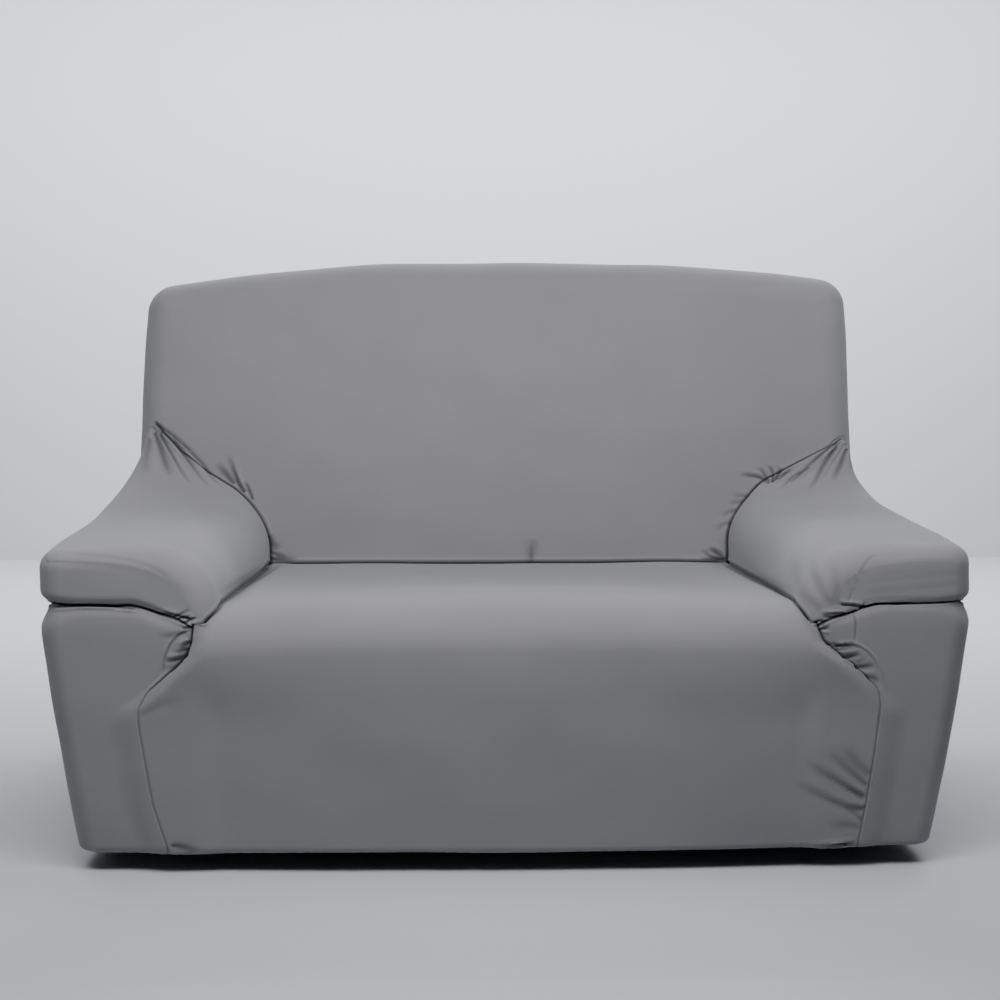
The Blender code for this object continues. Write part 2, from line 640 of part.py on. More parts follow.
def weld(nets):
    """One set of points and outward quads from nets that share their edges."""
    points, normals, quads, start = [], [], [], 0
    for net, out in nets:
        rows, columns = net.shape[:2]
        index = np.arange(rows * columns).reshape(rows, columns)
        quad = np.stack([index[:-1, :-1], index[:-1, 1:], index[1:, 1:], index[1:, :-1]], axis=-1)
        quad = quad.reshape(-1, 4)
        net, out = net.reshape(-1, 3), out.reshape(-1, 3)
        facing = np.cross(net[quad[:, 2]] - net[quad[:, 0]], net[quad[:, 3]] - net[quad[:, 1]])
        if np.sum(facing * out[quad[:, 0]]) < 0.0:
            quad = quad[:, ::-1]
        points.append(net)
        normals.append(out)
        quads.append(quad + start)
        start += len(net)
    points, normals, quads = (np.concatenate(rows) for rows in (points, normals, quads))
    _, first, index = np.unique(np.round(points, 5), axis=0, return_index=True,
                                return_inverse=True)
    return points[first], normals[first], index.reshape(-1)[quads]


def loose_edges(quads):
    """The directed edges that belong to one quad only."""
    starts, ends = quads.reshape(-1), np.roll(quads, -1, axis=1).reshape(-1)
    pairs = set(zip(starts.tolist(), ends.tolist()))
    return np.array(sorted(pair for pair in pairs if pair[::-1] not in pairs))


def sheet_mesh(name, nets):
    """A panel as a closed sheet: the outside, the inside and the cut edge between them."""
    outside, normal, quads = weld(nets)
    edges = loose_edges(quads)
    inward = np.zeros_like(outside)
    run = outside[edges[:, 1]] - outside[edges[:, 0]]
    run /= np.linalg.norm(run, axis=1, keepdims=True)
    for end in range(2):
        np.add.at(inward, edges[:, end], np.cross(normal[edges[:, end]], run))
    rim = np.unique(edges)
    length = np.linalg.norm(inward[rim], axis=1, keepdims=True)
    outside[rim] += inward[rim] / length * SEAM_GAP / np.maximum(length, 1.0)
    inside = outside - normal * SHEET

    count = len(outside)
    faces = quads.tolist() + (quads[:, ::-1] + count).tolist()
    place = outside.sum(axis=1)
    for start, end in edges.tolist():
        if place[start] < place[end]:
            faces += [(end, start, end + count), (start, start + count, end + count)]
        else:
            faces += [(end, start, start + count), (end, start + count, end + count)]
    mesh = bpy.data.meshes.new(name)
    mesh.from_pydata(np.vstack([outside, inside]) - ORIGIN, [], faces)
    mesh.validate()
    mesh.update()
    mesh.shade_smooth()
    mesh.set_sharp_from_angle(angle=np.radians(50.0))
    return mesh


def cloth_material(name):
    """Grey stretch knit."""
    material = bpy.data.materials.new(name)
    material.use_nodes = True
    shader = material.node_tree.nodes["Principled BSDF"]
    shader.inputs["Base Color"].default_value = CLOTH_COLOUR
    shader.inputs["Roughness"].default_value = CLOTH_ROUGHNESS
    shader.inputs["Metallic"].default_value = 0.0
    material.diffuse_color = CLOTH_COLOUR
    return material


def main():
    """Clear the scene and build the seven panels."""
    for item in list(bpy.data.objects):
        bpy.data.objects.remove(item, do_unlink=True)
    collection = bpy.data.collections.new(NAME)
    bpy.context.scene.collection.children.link(collection)
    for name, nets in panel_nets().items():
        mesh = sheet_mesh(name, nets)
        mesh.materials.append(cloth_material(name + "_knit"))
        collection.objects.link(bpy.data.objects.new(name, mesh))


main()
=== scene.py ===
"""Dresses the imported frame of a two-seat sofa cover: seven sewn panels of grey stretch knit.

The sofa under the cloth is written as one signed field, in metres: below zero inside, zero on the
cloth. Seams and tucks are curves on that field, and each panel is a set of fine nets stretched
between them. Seams, pleats, gathers and the slack of the cloth then draw the nets in or let them
out along the field's slope, and each panel gets the thickness of the knit.

The sofa frame that the shapes are written in has x to the right as one looks at the front, y from
the arms' front to the rear and z up from the hem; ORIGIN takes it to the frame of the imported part.
"""

from functools import lru_cache

import bpy
import numpy as np
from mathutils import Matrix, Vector


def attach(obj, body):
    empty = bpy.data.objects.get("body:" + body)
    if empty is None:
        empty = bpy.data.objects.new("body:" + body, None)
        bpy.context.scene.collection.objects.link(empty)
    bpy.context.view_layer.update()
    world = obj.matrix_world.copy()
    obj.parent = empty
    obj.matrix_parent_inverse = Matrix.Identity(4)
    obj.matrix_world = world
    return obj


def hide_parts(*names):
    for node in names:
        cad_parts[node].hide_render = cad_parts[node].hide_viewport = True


bl_info = {
    "name": "Stretch Sofa Cover",
    "version": (1, 0, 0),
    "blender": (4, 5, 0),
    "location": "3D View > Sidebar > Sofa Cover",
    "description": "Builds the sewn knit panels of a two-seat sofa cover and a stage to show them",
    "category": "Object",
}

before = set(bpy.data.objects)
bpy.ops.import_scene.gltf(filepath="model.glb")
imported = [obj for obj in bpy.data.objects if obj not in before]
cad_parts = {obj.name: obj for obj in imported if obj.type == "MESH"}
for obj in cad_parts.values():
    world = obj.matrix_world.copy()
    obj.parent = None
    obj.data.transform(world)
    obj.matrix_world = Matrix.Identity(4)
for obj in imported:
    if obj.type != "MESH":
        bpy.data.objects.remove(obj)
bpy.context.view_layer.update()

# ---------------------------------------------------------------- the sofa under the cloth

# Back
HEIGHT = 1.001             # crown of the back above the hem
PACKED_SHEET = 0.002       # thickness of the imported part's sheets
ORIGIN = np.array((0.0, 0.78, HEIGHT - PACKED_SHEET))  # on the underside of the back's top
REAR = 0.900               # outside back, behind the arms' front
REAR_ROUND = 0.045
BACK_HALF = 0.715          # half the back's width
BACK_CROWN = 0.0405        # how far the top falls from the middle to CROWN_HALF
CROWN_HALF = 0.674
CROWN_POWER = 2.8
CROWN_SHIFT = 0.045        # the crown lies a little to one side
BACK_CORNER = 0.046        # radius of the top corners, seen from the front
BACK_EDGE = 0.060          # radius between the inside back and the top and sides
BACK_FOOT = 0.545          # the inside back at the seat, behind the arms' front
BACK_LEAN = 0.22           # run back for each metre of rise
BACK_BELLY = 0.020         # how far the padding bulges forward
BELLY_FOOT = 0.37          # height where the belly starts, and how high it reaches above that
BELLY_RISE = 0.62
BACK_OUT_SPAN = (0.90, 0.77)   # heights between which the back's sides step out
TOP_CORNER_HEIGHT = 0.946  # where the back's top and side meet
SIDE_SEAM_HEIGHT = 0.640   # where the seam over the back's side reaches the rear

# Seat and apron
SEAT_TOP = 0.400
SEAT_CROWN = 0.010         # the seat's middle is this much higher, towards the front
SEAT_CROWN_HALF = 0.5
SEAT_CROWN_SPAN = (0.5, 0.2)   # the y's between which the crown rises
SEAT_NOSE = 0.080          # radius from the seat down to the apron
SEAT_EDGE = 0.030          # radius at the sides of the seat's nose
SEAM_STEP_OUT = 0.03       # low down the apron runs this far past its seam, into the arm's front
SEAM_STEP_SPAN = (0.27, 0.22)
APRON_BULGE = 0.010
APRON_BULGE_HALF = 0.58
APRON_BULGE_SPAN = (0.45, 0.25)
APRON_STEPS = (0.0018, 0.004)  # it stands this far before the arms low down, and higher up
NOSE_STEP = 0.013          # and this much more beside the nose
NOSE_STEP_MIDDLE = 0.6     # share of the nose's step in the middle of the front
NOSE_STEP_OUT = (0.25, 0.55)   # it changes between these distances from the middle
NOSE_STEP_SPAN = (0.20, 0.33)  # and between these heights

# Arms
TAPER = 0.0485             # each side draws in by this much
TAPER_TOP = 0.370          # from this height down to the hem
ARM_DEPTH = 0.53           # the arm's front to where its inner side meets the back
ARM_INNER_BACK = 0.452     # the arm's inner side there
ARM_FRONT_SET_BACK = 0.016
ARM_ROLL = 0.105           # radius from the arm's top down to the seat, at its front
ARM_ROLL_BACK = 0.080      # and at the back
ARM_ROLL_SPAN = (0.10, 0.50)
ARM_CORNER = 0.040         # radius of the arm's upright front corners
PAD_TOP = 0.490            # top of the arm pad at its front edge
PAD_RISE = 0.010           # it rises by this much just behind that edge
PAD_RISE_SPAN = (0.0, 0.12)
TOP_RISE_SPAN = (0.10, 0.55)   # the arm's top rises evenly between these y's
FALL_SPAN = (0.57, 0.73)   # the pad's outer edge falls between these distances from the middle
FALL_END = (0.60, 0.30)    # and in full in front of these y's
PAD_EDGE = 0.030           # radius of the pad's outer edge
PAD_EDGE_INNER = 0.042     # radius of the pad's front edge beside the seat
PAD_EDGE_SPAN = (0.67, 0.55)   # it changes between these distances from the middle
PAD_UNDER = 0.405          # height of the groove under the pad
GROOVE_LINE = 0.409        # height of the deepest line in the groove
GROOVE_DROP = 0.029        # the groove falls this far as it nears the seat
GROOVE_DROP_SPAN = (0.60, 0.50)
GROOVE_END = (0.60, 0.40)  # it dies out between these y's
GROOVE_IN = (0.500, 0.560) # and between these distances from the middle it grows to full depth
GROOVE_IN_SHARE = 0.1      # from this share of it
GROOVE_ROUND = (0.67, 0.735)   # between these it changes from the front's groove to the side's
GROOVE_DEPTHS = (0.50, 1.0)    # shares of its depth at the front and at the side
GROOVE_ABOVE = (0.55, 0.75)    # shares of its width above its line, at the front and at the side
GROOVE_BELOW = (0.80, 1.80)    # and below it
WEB_FROM = 0.440           # the web up the back's side starts this far from the middle
WEB_TO = 0.705             # and is highest here
WEB_POWER = 4              # how late its extra peak rises
SIDE_BULGE = 0.004         # the sides swell by this much under the groove
SMALL_FOLD = 0.003         # how softly two surfaces meet in a tuck
BACK_FOLD = 0.004
APRON_BLEND = 0.030        # how softly the low apron runs into the arm's front
APRON_BLEND_SPAN = (0.36, 0.20)

# The two arms are stretched unevenly: column names, then the arm at -X and the arm at +X. Of the
# web: its rise, extra peak and run forward; of the arm: half the width over both, the rise of its
# top to the rear, the fall of its outer edge, its lean inwards above a height; of its inner side:
# the place at the front and how it curves; of the back beside it: how far it steps out, and
# where the web's tip is; of the groove: its depth and width.
ARM_COLUMNS = ("half", "web_rise", "web_peak", "web_run", "top_rise", "edge_fall", "lean_in",
               "lean_from", "lean_over", "inner_front", "inner_power", "back_out", "tip_half",
               "groove_depth", "groove_width")
ARM_ROWS = {
    -1: (0.7445, 0.145, 0.062, 0.056, 0.002, 0.020, 0.041, 0.490, 0.14, 0.460, 1.7, 0.006, 0.684,
         0.013, 0.014),
    +1: (0.7475, 0.131, 0.000, 0.020, 0.020, 0.000, 0.034, 0.480, 0.10, 0.470, 0.9, 0.002, 0.684,
         0.010, 0.011),
}
ARMS = {side: dict(zip(ARM_COLUMNS, row)) for side, row in ARM_ROWS.items()}

# The seam between apron and arm front: height above the hem, then its distance from the middle
# at the arm at -X and at the arm at +X.
SEAM_COLUMNS = ("height", -1, +1)
SEAM_ROWS = (
    (0.000, 0.541, 0.568),
    (0.080, 0.566, 0.581),
    (0.157, 0.578, 0.591),
    (0.215, 0.586, 0.597),
    (0.240, 0.585, 0.599),
    (0.265, 0.572, 0.597),
    (0.305, 0.528, 0.556),
    (0.325, 0.509, 0.528),
    (0.345, 0.501, 0.506),
    (0.371, 0.497, 0.494),
)
SEAM = dict(zip(SEAM_COLUMNS, np.array(SEAM_ROWS).T))
SEAT_CORNER_HEIGHT = 0.373  # where seat, apron, arm and arm front meet
GROOVE_START = SEAT_CORNER_HEIGHT - 0.004  # where the groove under the pad meets that seam

HEM_ROUND = 0.012          # radius of the cloth at the bottom edge

# ---------------------------------------------------------------- the cloth's own marks

# How far a sewn or tucked line draws the cloth in, and over what half width, in metres.
DRAW = {
    "none": (0.0, 0.004),
    "seam": (0.0013, 0.0015),
    "rim": (0.0007, 0.0022),
    "groove": (0.0052, 0.0016),
    "tuck": (0.0064, 0.0027),
}
LIP = 0.16                 # share of that depth by which the cloth stands up beside the line
LIP_PLACE = 2.6            # and how many half widths beside it
SEAM_NARROWS = 0.45        # the front seams narrow from groove to seam over this share of them

# Marks on the cloth, in millimetres: the points that each passes, its half width and depth, and
# the share of its depth by which a ridge stands up beside it, on its left side where negative.
MARK_COLUMNS = ("points", "width", "depth", "ridge")
PER_METRE = 1000.0         # millimetres to a metre

# Pleats, pulls and gathers: each starts narrow and fades along its length.
FOLD_ROWS = (
    # the fan from the tip of the web at -X
    (((-684, 598, 676), (-626, 584, 633), (-535, 549, 543)), 3.0, 4.6, 0.7),
    (((-686, 599, 674), (-633, 581, 625), (-559, 537, 546)), 3.4, 5.6, 0.7),
    (((-687, 598, 670), (-650, 573, 621), (-598, 528, 556)), 3.4, 4.4, 0.6),
    (((-683, 588, 658), (-661, 562, 614), (-638, 527, 571)), 6.5, 3.0, 0.3),
    (((-690, 580, 645), (-690, 545, 607), (-687, 505, 578)), 8.0, 1.8, 0.2),
    # gathers of the inside back over the arm at -X
    (((-503, 564, 538), (-519, 569, 564), (-538, 578, 612)), 3.4, 5.8, 0.6),
    (((-523, 567, 555), (-538, 571, 572), (-561, 575, 594)), 6.0, 3.2, 0.1),
    (((-486, 562, 523), (-495, 565, 544), (-504, 567, 560)), 3.0, 3.6, 0.4),
    # the fan of the web at +X
    (((696, 602, 650), (645, 579, 613), (590, 560, 572)), 2.8, 3.8, -0.6),
    (((700, 600, 646), (659, 576, 608), (603, 525, 545)), 3.4, 6.0, -0.7),
    (((700, 594, 634), (681, 568, 597), (655, 542, 562)), 4.5, 3.8, -0.4),
    (((618, 569, 588), (595, 562, 572), (573, 552, 556)), 2.6, 3.2, -0.5),
    (((600, 566, 580), (576, 558, 565), (553, 543, 545)), 2.6, 2.4, -0.5),
    # gathers of the inside back over the arm at +X
    (((541, 562, 556), (545, 571, 576), (536, 574, 591)), 2.8, 4.6, 0.5),
    (((543, 562, 557), (556, 569, 573), (563, 573, 586)), 3.4, 6.2, 0.5),
    (((552, 563, 562), (568, 568, 574), (587, 571, 584)), 3.4, 4.8, 0.3),
    (((537, 565, 558), (526, 571, 576), (516, 573, 588)), 3.0, 3.0, 0.3),
    (((537, 562, 554), (516, 570, 567), (476, 570, 572)), 3.6, 3.2, 0.3),
    (((500, 560, 530), (484, 563, 529), (462, 562, 528)), 4.0, 1.4, 0.3),
    (((487, 559, 521), (474, 561, 517), (455, 560, 514)), 4.0, 1.6, 0.3),
    (((471, 557, 503), (459, 557, 498), (441, 556, 491)), 4.5, 1.4, 0.3),
    (((457, 554, 478), (444, 553, 472), (427, 552, 462)), 5.0, 1.2, 0.3),
    # the seat's back corners
    (((-450, 542, 409), (-434, 543, 408), (-398, 543, 404)), 5.0, 5.2, 0.4),
    (((-452, 546, 424), (-441, 546, 418), (-420, 545, 413)), 3.4, 2.6, 0.5),
    (((-455, 549, 455), (-447, 549, 438), (-436, 547, 424)), 7.0, 2.8, 0.1),
    (((-452, 530, 405), (-452, 500, 404), (-449, 440, 402)), 3.4, 3.0, 0.6),
    (((446, 543, 405), (432, 545, 417), (414, 547, 427)), 4.0, 5.6, 0.5),
    (((441, 543, 406), (420, 544, 411), (398, 546, 424)), 3.0, 2.8, 0.4),
    (((449, 542, 405), (430, 543, 405), (395, 543, 404)), 3.8, 4.0, 0.3),
    (((61, 541, 402), (62, 545, 420), (67, 549, 448)), 7.0, 2.6, 0.2),
    # the seat's valleys beside the arms
    (((-440, 524, 403), (-450, 280, 403), (-480, 30, 398)), 12.0, 10.0, 0.0),
    (((442, 528, 403), (457, 250, 403), (484, 40, 400)), 9.0, 7.0, 0.0),
    # the pad's front at -X, gathered towards the seat's corner
    (((-497, 1, 382), (-524, 4, 389), (-546, 10, 397)), 2.6, 3.4, 0.6),
    (((-527, 6, 387), (-517, 1, 391), (-500, 2, 396)), 2.2, 2.6, 0.35),
    (((-521, 4, 383), (-512, 2, 386), (-500, 2, 387)), 2.2, 3.0, 0.35),
    (((-508, 2, 377), (-502, 1, 381), (-493, 4, 386)), 2.2, 3.0, 0.35),
    (((-499, 2, 369), (-505, 1, 369), (-514, 1, 367)), 2.6, 4.4, 0.5),
    (((-506, 1, 361), (-527, 1, 357), (-552, 1, 353)), 4.0, 1.4, 0.4),
    # the small gusset at -X
    (((-502, 1, 347), (-509, 1, 341), (-518, 1, 333)), 3.8, 5.0, 0.7),
    (((-503, 1, 336), (-511, 2, 331), (-524, 2, 325)), 3.8, 5.0, 0.7),
    (((-504, 1, 327), (-517, 2, 320), (-542, 2, 314)), 3.2, 5.0, 0.8),
    (((-513, 0, 317), (-524, 1, 308), (-540, 2, 297)), 4.5, 2.4, 0.3),
    (((-582, -4, 229), (-549, -6, 246), (-510, -7, 255)), 8.0, 1.0, 0.1),
    (((-540, 5, 15), (-526, 5, 14), (-494, 4, 6)), 4.0, 3.6, 0.4),
    # where the arm at +X is drawn to the seat's corner
    (((540, 4, 391), (520, 2, 388), (500, 2, 386)), 2.2, 3.6, 0.6),
    (((534, 5, 387), (516, 2, 383), (502, 2, 382)), 2.2, 3.8, 0.6),
    (((490, 6, 372), (498, 4, 376), (511, 2, 376)), 2.2, 4.4, 0.6),
    (((493, 4, 367), (500, 3, 370), (508, 2, 372)), 2.2, 2.6, 0.5),
    (((497, 3, 361), (504, 1, 364), (515, 1, 364)), 2.4, 4.2, 0.6),
    (((505, 12, 389), (491, 63, 425), (492, 150, 452)), 11.0, 1.4, 0.2),
    (((518, 4, 399), (507, 20, 424), (512, 60, 456)), 8.0, 1.4, 0.3),
    (((528, 4, 400), (524, 12, 424), (532, 40, 460)), 7.0, 1.0, 0.3),
    # the gusset at +X
    (((509, 1, 338), (517, 1, 339), (529, 1, 340)), 2.2, 3.4, 0.6),
    (((515, 1, 333), (532, 1, 336), (556, 1, 339)), 2.4, 4.8, 0.8),
    (((518, 1, 329), (535, 2, 331), (562, 2, 335)), 2.6, 3.8, 0.6),
    (((533, 0, 318), (547, 2, 317), (566, 2, 322)), 3.4, 4.8, 0.8),
    (((541, 0, 311), (555, 2, 311), (574, 2, 313)), 3.0, 2.4, 0.4),
    (((554, 0, 302), (570, 3, 301), (592, 3, 303)), 4.2, 3.4, 0.5),
    (((574, 0, 288), (584, 1, 283), (598, 3, 277)), 3.6, 2.8, 0.4),
    # pulls in the apron towards the seam at +X
    (((584, 1, 124), (564, 0, 142), (536, -2, 174)), 7.0, 1.6, 0.5),
    (((580, 2, 107), (556, 0, 128), (516, -1, 163)), 4.4, 2.2, 0.6),
    (((577, 3, 84), (541, 1, 109), (482, -1, 146)), 4.6, 2.5, 0.6),
    (((578, 2, 91), (568, 2, 95), (548, 1, 103)), 2.6, 1.6, 0.5),
    (((577, 3, 65), (539, 2, 75), (464, 2, 112)), 4.6, 2.4, 0.6),
    (((578, 3, 71), (569, 3, 72), (548, 3, 76)), 2.6, 1.8, 0.5),
    (((574, 4, 50), (563, 3, 60), (545, 3, 68)), 2.8, 1.8, 0.5),
    (((571, 5, 37), (550, 4, 40), (520, 4, 41)), 6.0, 1.4, 0.3),
    (((562, 5, 10), (530, 5, 6), (492, 5, 0)), 3.2, 4.4, 0.6),
)

# Lines that stay even along their length: sewn seams inside a panel, and creases.
LINE_ROWS = (
    # the crease that runs with the pad's rim at -X
    (((-707, 19, 487), (-642, 8, 483), (-602, 6, 477), (-563, 6, 466),
      (-533, 9, 448)), 4.0, 0.6, 0.4),
    # the lip under the groove at -X
    (((-722, 20, 400), (-695, 13, 402), (-664, 12, 404), (-634, 13, 402),
      (-606, 12, 398), (-582, 12, 395)), 2.2, 3.4, 0.6),
    # the seam of the small gusset at -X
    (((-493, 2, 367), (-506, 1, 363), (-518, 1, 358), (-532, 1, 343),
      (-540, 2, 327), (-544, 2, 314), (-546, 3, 296)), 1.8, 1.6, 0.4),
    # the seam across the pad's front at +X
    (((593, 10, 480), (578, 7, 475), (562, 1, 456), (554, 0, 439),
      (547, 0, 419), (543, 1, 404)), 2.0, 0.8, 0.2),
    # the upper line of the groove at +X
    (((650, 10, 405), (592, 9, 403), (570, 8, 402), (545, 2, 402), (530, 0, 403)), 2.4, 4.0, 0.5),
    # the two seams of the gusset at +X
    (((552, 9, 390), (554, 4, 383), (556, 0, 370), (556, 1, 344)), 1.8, 1.4, 0.2),
    (((512, 1, 338), (535, 1, 341), (557, 1, 340), (580, 2, 326),
      (597, 3, 299), (603, 4, 267)), 2.2, -1.6, 0.6),
    # pulls across the pad's front at +X
    (((720, 8, 470), (650, 1, 462), (585, 1, 452)), 6.0, 0.2, 0.5),
    (((722, 4, 452), (650, 0, 446), (572, 0, 436)), 5.0, 0.2, 0.5),
    (((724, 2, 436), (650, 0, 428), (566, 0, 420)), 5.0, 0.3, 0.5),
)

MARKS = [dict(zip(MARK_COLUMNS, row), fades=True) for row in FOLD_ROWS]
MARKS += [dict(zip(MARK_COLUMNS, row), fades=False) for row in LINE_ROWS]
MARK_POINTS = 18           # points along a mark's path
MARK_REACH = 4.0           # a mark ends this many of its half widths from its path
RIDGE_PLACE = 2.0          # and its ridge stands this many beside it
FOLD_WIDENS = (0.7, 1.3)   # a fold's width where it starts and ends, as shares of its own
FOLD_START = 0.04          # share of its length over which a fold grows
FOLD_FADE = 4              # and the power by which it dies out
LINE_ENDS = 12.0           # how quickly a line grows from its two ends
FACING = 0.6               # a mark's left side is as seen from above, and this much from in front
# Folds are darkened with painted shade, fully where a mark is at least this deep and at most this
# wide.
DARK_DEPTH = 0.003         # a mark of this depth or more
DARK_WIDTH = 0.007         # and this half width or less turns fully dark

# Long, low swells of the slack cloth: how many waves a metre along x, y and z, phase, height.
SWELL_ROWS = (
    (1.3, 0.7, 0.9, 0.4, 0.0008),
    (2.1, 1.6, 1.3, 2.0, 0.0007),
    (0.8, 2.3, 2.9, 4.1, 0.0006),
    (3.7, 1.1, 3.1, 1.2, 0.0004),
    (2.9, 4.1, 5.3, 5.3, 0.0003),
    (0.6, 0.9, 9.0, 3.3, 0.00018),
)
SWELL_BEND = 0.6           # how far the swells wander from straight, in radians

# Cells along the shared curves: how many, how much smaller they get towards the start and the
# end, and over what share of the length.
CELL_ROWS = {
    "across": (140, 0.75, 0.75, 0.15),
    "along_arm": (216, 0.70, 0.72, 0.25),
    "over_arm": (168, 0.55, 0.50, 0.25),
    "pad": (24, 0.30, 0.60, 0.15),
    "down": (104, 0.72, 0.30, 0.30),
    "up_back": (50, 0.60, 0.40, 0.15),
    "over_back": (44, 0.50, 0.60, 0.15),
}
ARM_SHARE = 0.62           # along the side, the arm's cells take up this share of the length
SEAM_GUIDES = 9            # guide points down a front seam

# Hem
HEM_POINTS = 6             # points round the hem's turn, and again from there to its edge
HEM_GATHER = 0.0012        # depth of its small gathers at its own edge
GATHER_LENGTH = 0.019      # from one gather to the next
GATHER_WANDER = 0.05       # their places wander as the sine of the distance over this
GATHER_END = 0.02          # they die out this close to the next panel
HEM_SEAM = (0.0014, 0.0024)    # how far and how widely the seams at its ends draw it in

# Panels
WELD_DECIMALS = 5          # points that agree to this many decimals are one
NORMAL_SLACK = 5.0         # tucks are widened this much where the way out of the cloth is taken
# Painted shade: the knit's colour is darkened where tucks, seams, grooves and hem gathers draw it
# in, and in folds.
TUCK_DARK_DEPTH = 0.003    # sewing that draws the cloth in this far turns it fully dark
FOLD_DARK_SHARE = 0.7      # and folds count this much beside it
SHARP_ANGLE = np.radians(60.0)


# ---------------------------------------------------------------- the field of the covered sofa

def unit(t):
    """t held between 0 and 1."""
    return np.clip(t, 0.0, 1.0)


def ease(t):
    """3t^2 - 2t^3, a smooth step from 0 to 1."""
    t = unit(t)
    return t * t * (3.0 - 2.0 * t)


def step(value, span):
    """A smooth step from 0 at the span's first value to 1 at its second."""
    return ease((value - span[0]) / (span[1] - span[0]))


def mix(a, b, t):
    """a where t is 0, b where t is 1: a + (b - a) t."""
    return a + (b - a) * t


def round_max(a, b, radius):
    """The overlap of two distances, rounded: hypot of their parts within a radius of the edge."""
    a, b = a + radius, b + radius
    outside = np.hypot(np.maximum(a, 0.0), np.maximum(b, 0.0))
    return outside + np.minimum(np.maximum(a, b), 0.0) - radius


def soft_min(a, b, blend):
    """The union of two distances, less blend t (1 - t) where they are within a blend of equal."""
    t = unit(0.5 + 0.5 * (b - a) / blend)
    return mix(b, a, t) - blend * t * (1.0 - t)


def split(points):
    """The x, y and z of an array of points."""
    return points[..., 0], points[..., 1], points[..., 2]


def arm_value(x, name):
    """A column of the arm table, for the arm on x's side."""
    return np.where(x < 0.0, ARMS[-1][name], ARMS[1][name])


def back_face(x, z):
    """The y of the inside back: a leaning line less a belly of one half sine wave."""
    belly = BACK_BELLY * np.sin(np.pi * unit((z - BELLY_FOOT) / BELLY_RISE))
    return BACK_FOOT + BACK_LEAN * (z - SEAT_TOP) - belly * (1.0 - x ** 2)


def lowness(z):
    """0 above the height where the sides draw in, 1 at the hem."""
    return unit((TAPER_TOP - z) / TAPER_TOP)


def arm_front(z):
    """The y of the arms' front below the pads."""
    return ARM_FRONT_SET_BACK * lowness(z)


def arm(points):
    """Distance to the nearer arm: the rounded overlap of its top, inner, outer and front sides,
    with a groove of one bell curve under the pad. The top has the web stretched from it up the
    back's side, which falls with distance from the back as run / (run + distance)."""
    x, y, z = split(points)
    out = np.abs(x)
    fall = arm_value(x, "edge_fall") * step(out, FALL_SPAN) * step(y, FALL_END)
    rise = arm_value(x, "top_rise") * unit((y - TOP_RISE_SPAN[0]) / np.ptp(TOP_RISE_SPAN))
    level = PAD_TOP + PAD_RISE * step(y, PAD_RISE_SPAN) + rise - fall
    behind = np.maximum(back_face(x, z) - y, 0.0)
    run = arm_value(x, "web_run")
    spread = unit((out - WEB_FROM) / (WEB_TO - WEB_FROM))
    web = arm_value(x, "web_rise") * spread + arm_value(x, "web_peak") * spread ** WEB_POWER
    web = web * run / (run + behind)
    top = (z - level - web) / np.hypot(1.0, web / (run + behind))

    lean = arm_value(x, "lean_in") * ease((z - arm_value(x, "lean_from"))
                                          / arm_value(x, "lean_over"))
    bulge = SIDE_BULGE * np.sin(np.pi * unit(z / PAD_UNDER))
    outer = out - (arm_value(x, "half") + bulge - TAPER * lowness(z) - lean)
    forward = unit(1.0 - y / ARM_DEPTH) ** arm_value(x, "inner_power")
    inner = mix(ARM_INNER_BACK, arm_value(x, "inner_front"), forward) - out

    shape = round_max(top, inner, mix(ARM_ROLL, ARM_ROLL_BACK, step(y, ARM_ROLL_SPAN)))
    shape = round_max(shape, round_max(outer, arm_front(z) - y, ARM_CORNER),
                      mix(PAD_EDGE, PAD_EDGE_INNER, step(out, PAD_EDGE_SPAN)))
    line = PAD_UNDER - GROOVE_DROP * step(out, GROOVE_DROP_SPAN)
    depth = arm_value(x, "groove_depth") * step(y, GROOVE_END)
    depth = depth * mix(GROOVE_IN_SHARE, 1.0, step(out, GROOVE_IN))
    round_side = step(out, GROOVE_ROUND)
    width = np.where(z > line, mix(*GROOVE_ABOVE, round_side), mix(*GROOVE_BELOW, round_side))
    width = width * arm_value(x, "groove_width")
    return shape + depth * mix(*GROOVE_DEPTHS, round_side) * np.exp(-((z - line) / width) ** 2)


def seam_half(x, z):
    """How far the apron's seam is from the middle at a height."""
    left, right = (np.interp(z, SEAM["height"], SEAM[side]) for side in (-1, 1))
    return np.where(x < 0.0, left, right)


def seat(points):
    """Distance to the seat and its apron: the rounded overlap of top, front and sides."""
    x, y, z = split(points)
    out = np.abs(x)
    side = out - seam_half(x, z) - SEAM_STEP_OUT * step(z, SEAM_STEP_SPAN)
    beside_nose = mix(NOSE_STEP_MIDDLE, step(z, NOSE_STEP_SPAN), step(out, NOSE_STEP_OUT))
    bulge = APRON_BULGE * (1.0 - (x / APRON_BULGE_HALF) ** 2) * step(z, APRON_BULGE_SPAN)
    forward = mix(*APRON_STEPS, step(z, NOSE_STEP_SPAN)) + NOSE_STEP * beside_nose + bulge
    front = arm_front(z) - forward
    top = SEAT_TOP + SEAT_CROWN * (1.0 - (x / SEAT_CROWN_HALF) ** 2) * step(y, SEAT_CROWN_SPAN)
    return round_max(round_max(z - top, front - y, SEAT_NOSE), side, SEAT_EDGE)


def back(points):
    """Distance to the back, which has no rear yet: a crowned outline and the leaning face."""
    x, y, z = split(points)
    half = BACK_HALF + arm_value(x, "back_out") * step(z, BACK_OUT_SPAN) - TAPER * lowness(z)
    top = HEIGHT - BACK_CROWN * (np.abs(x - CROWN_SHIFT) / CROWN_HALF) ** CROWN_POWER
    outline = round_max(np.abs(x) - half, z - top, BACK_CORNER)
    return round_max(outline, back_face(x, z) - y, BACK_EDGE)


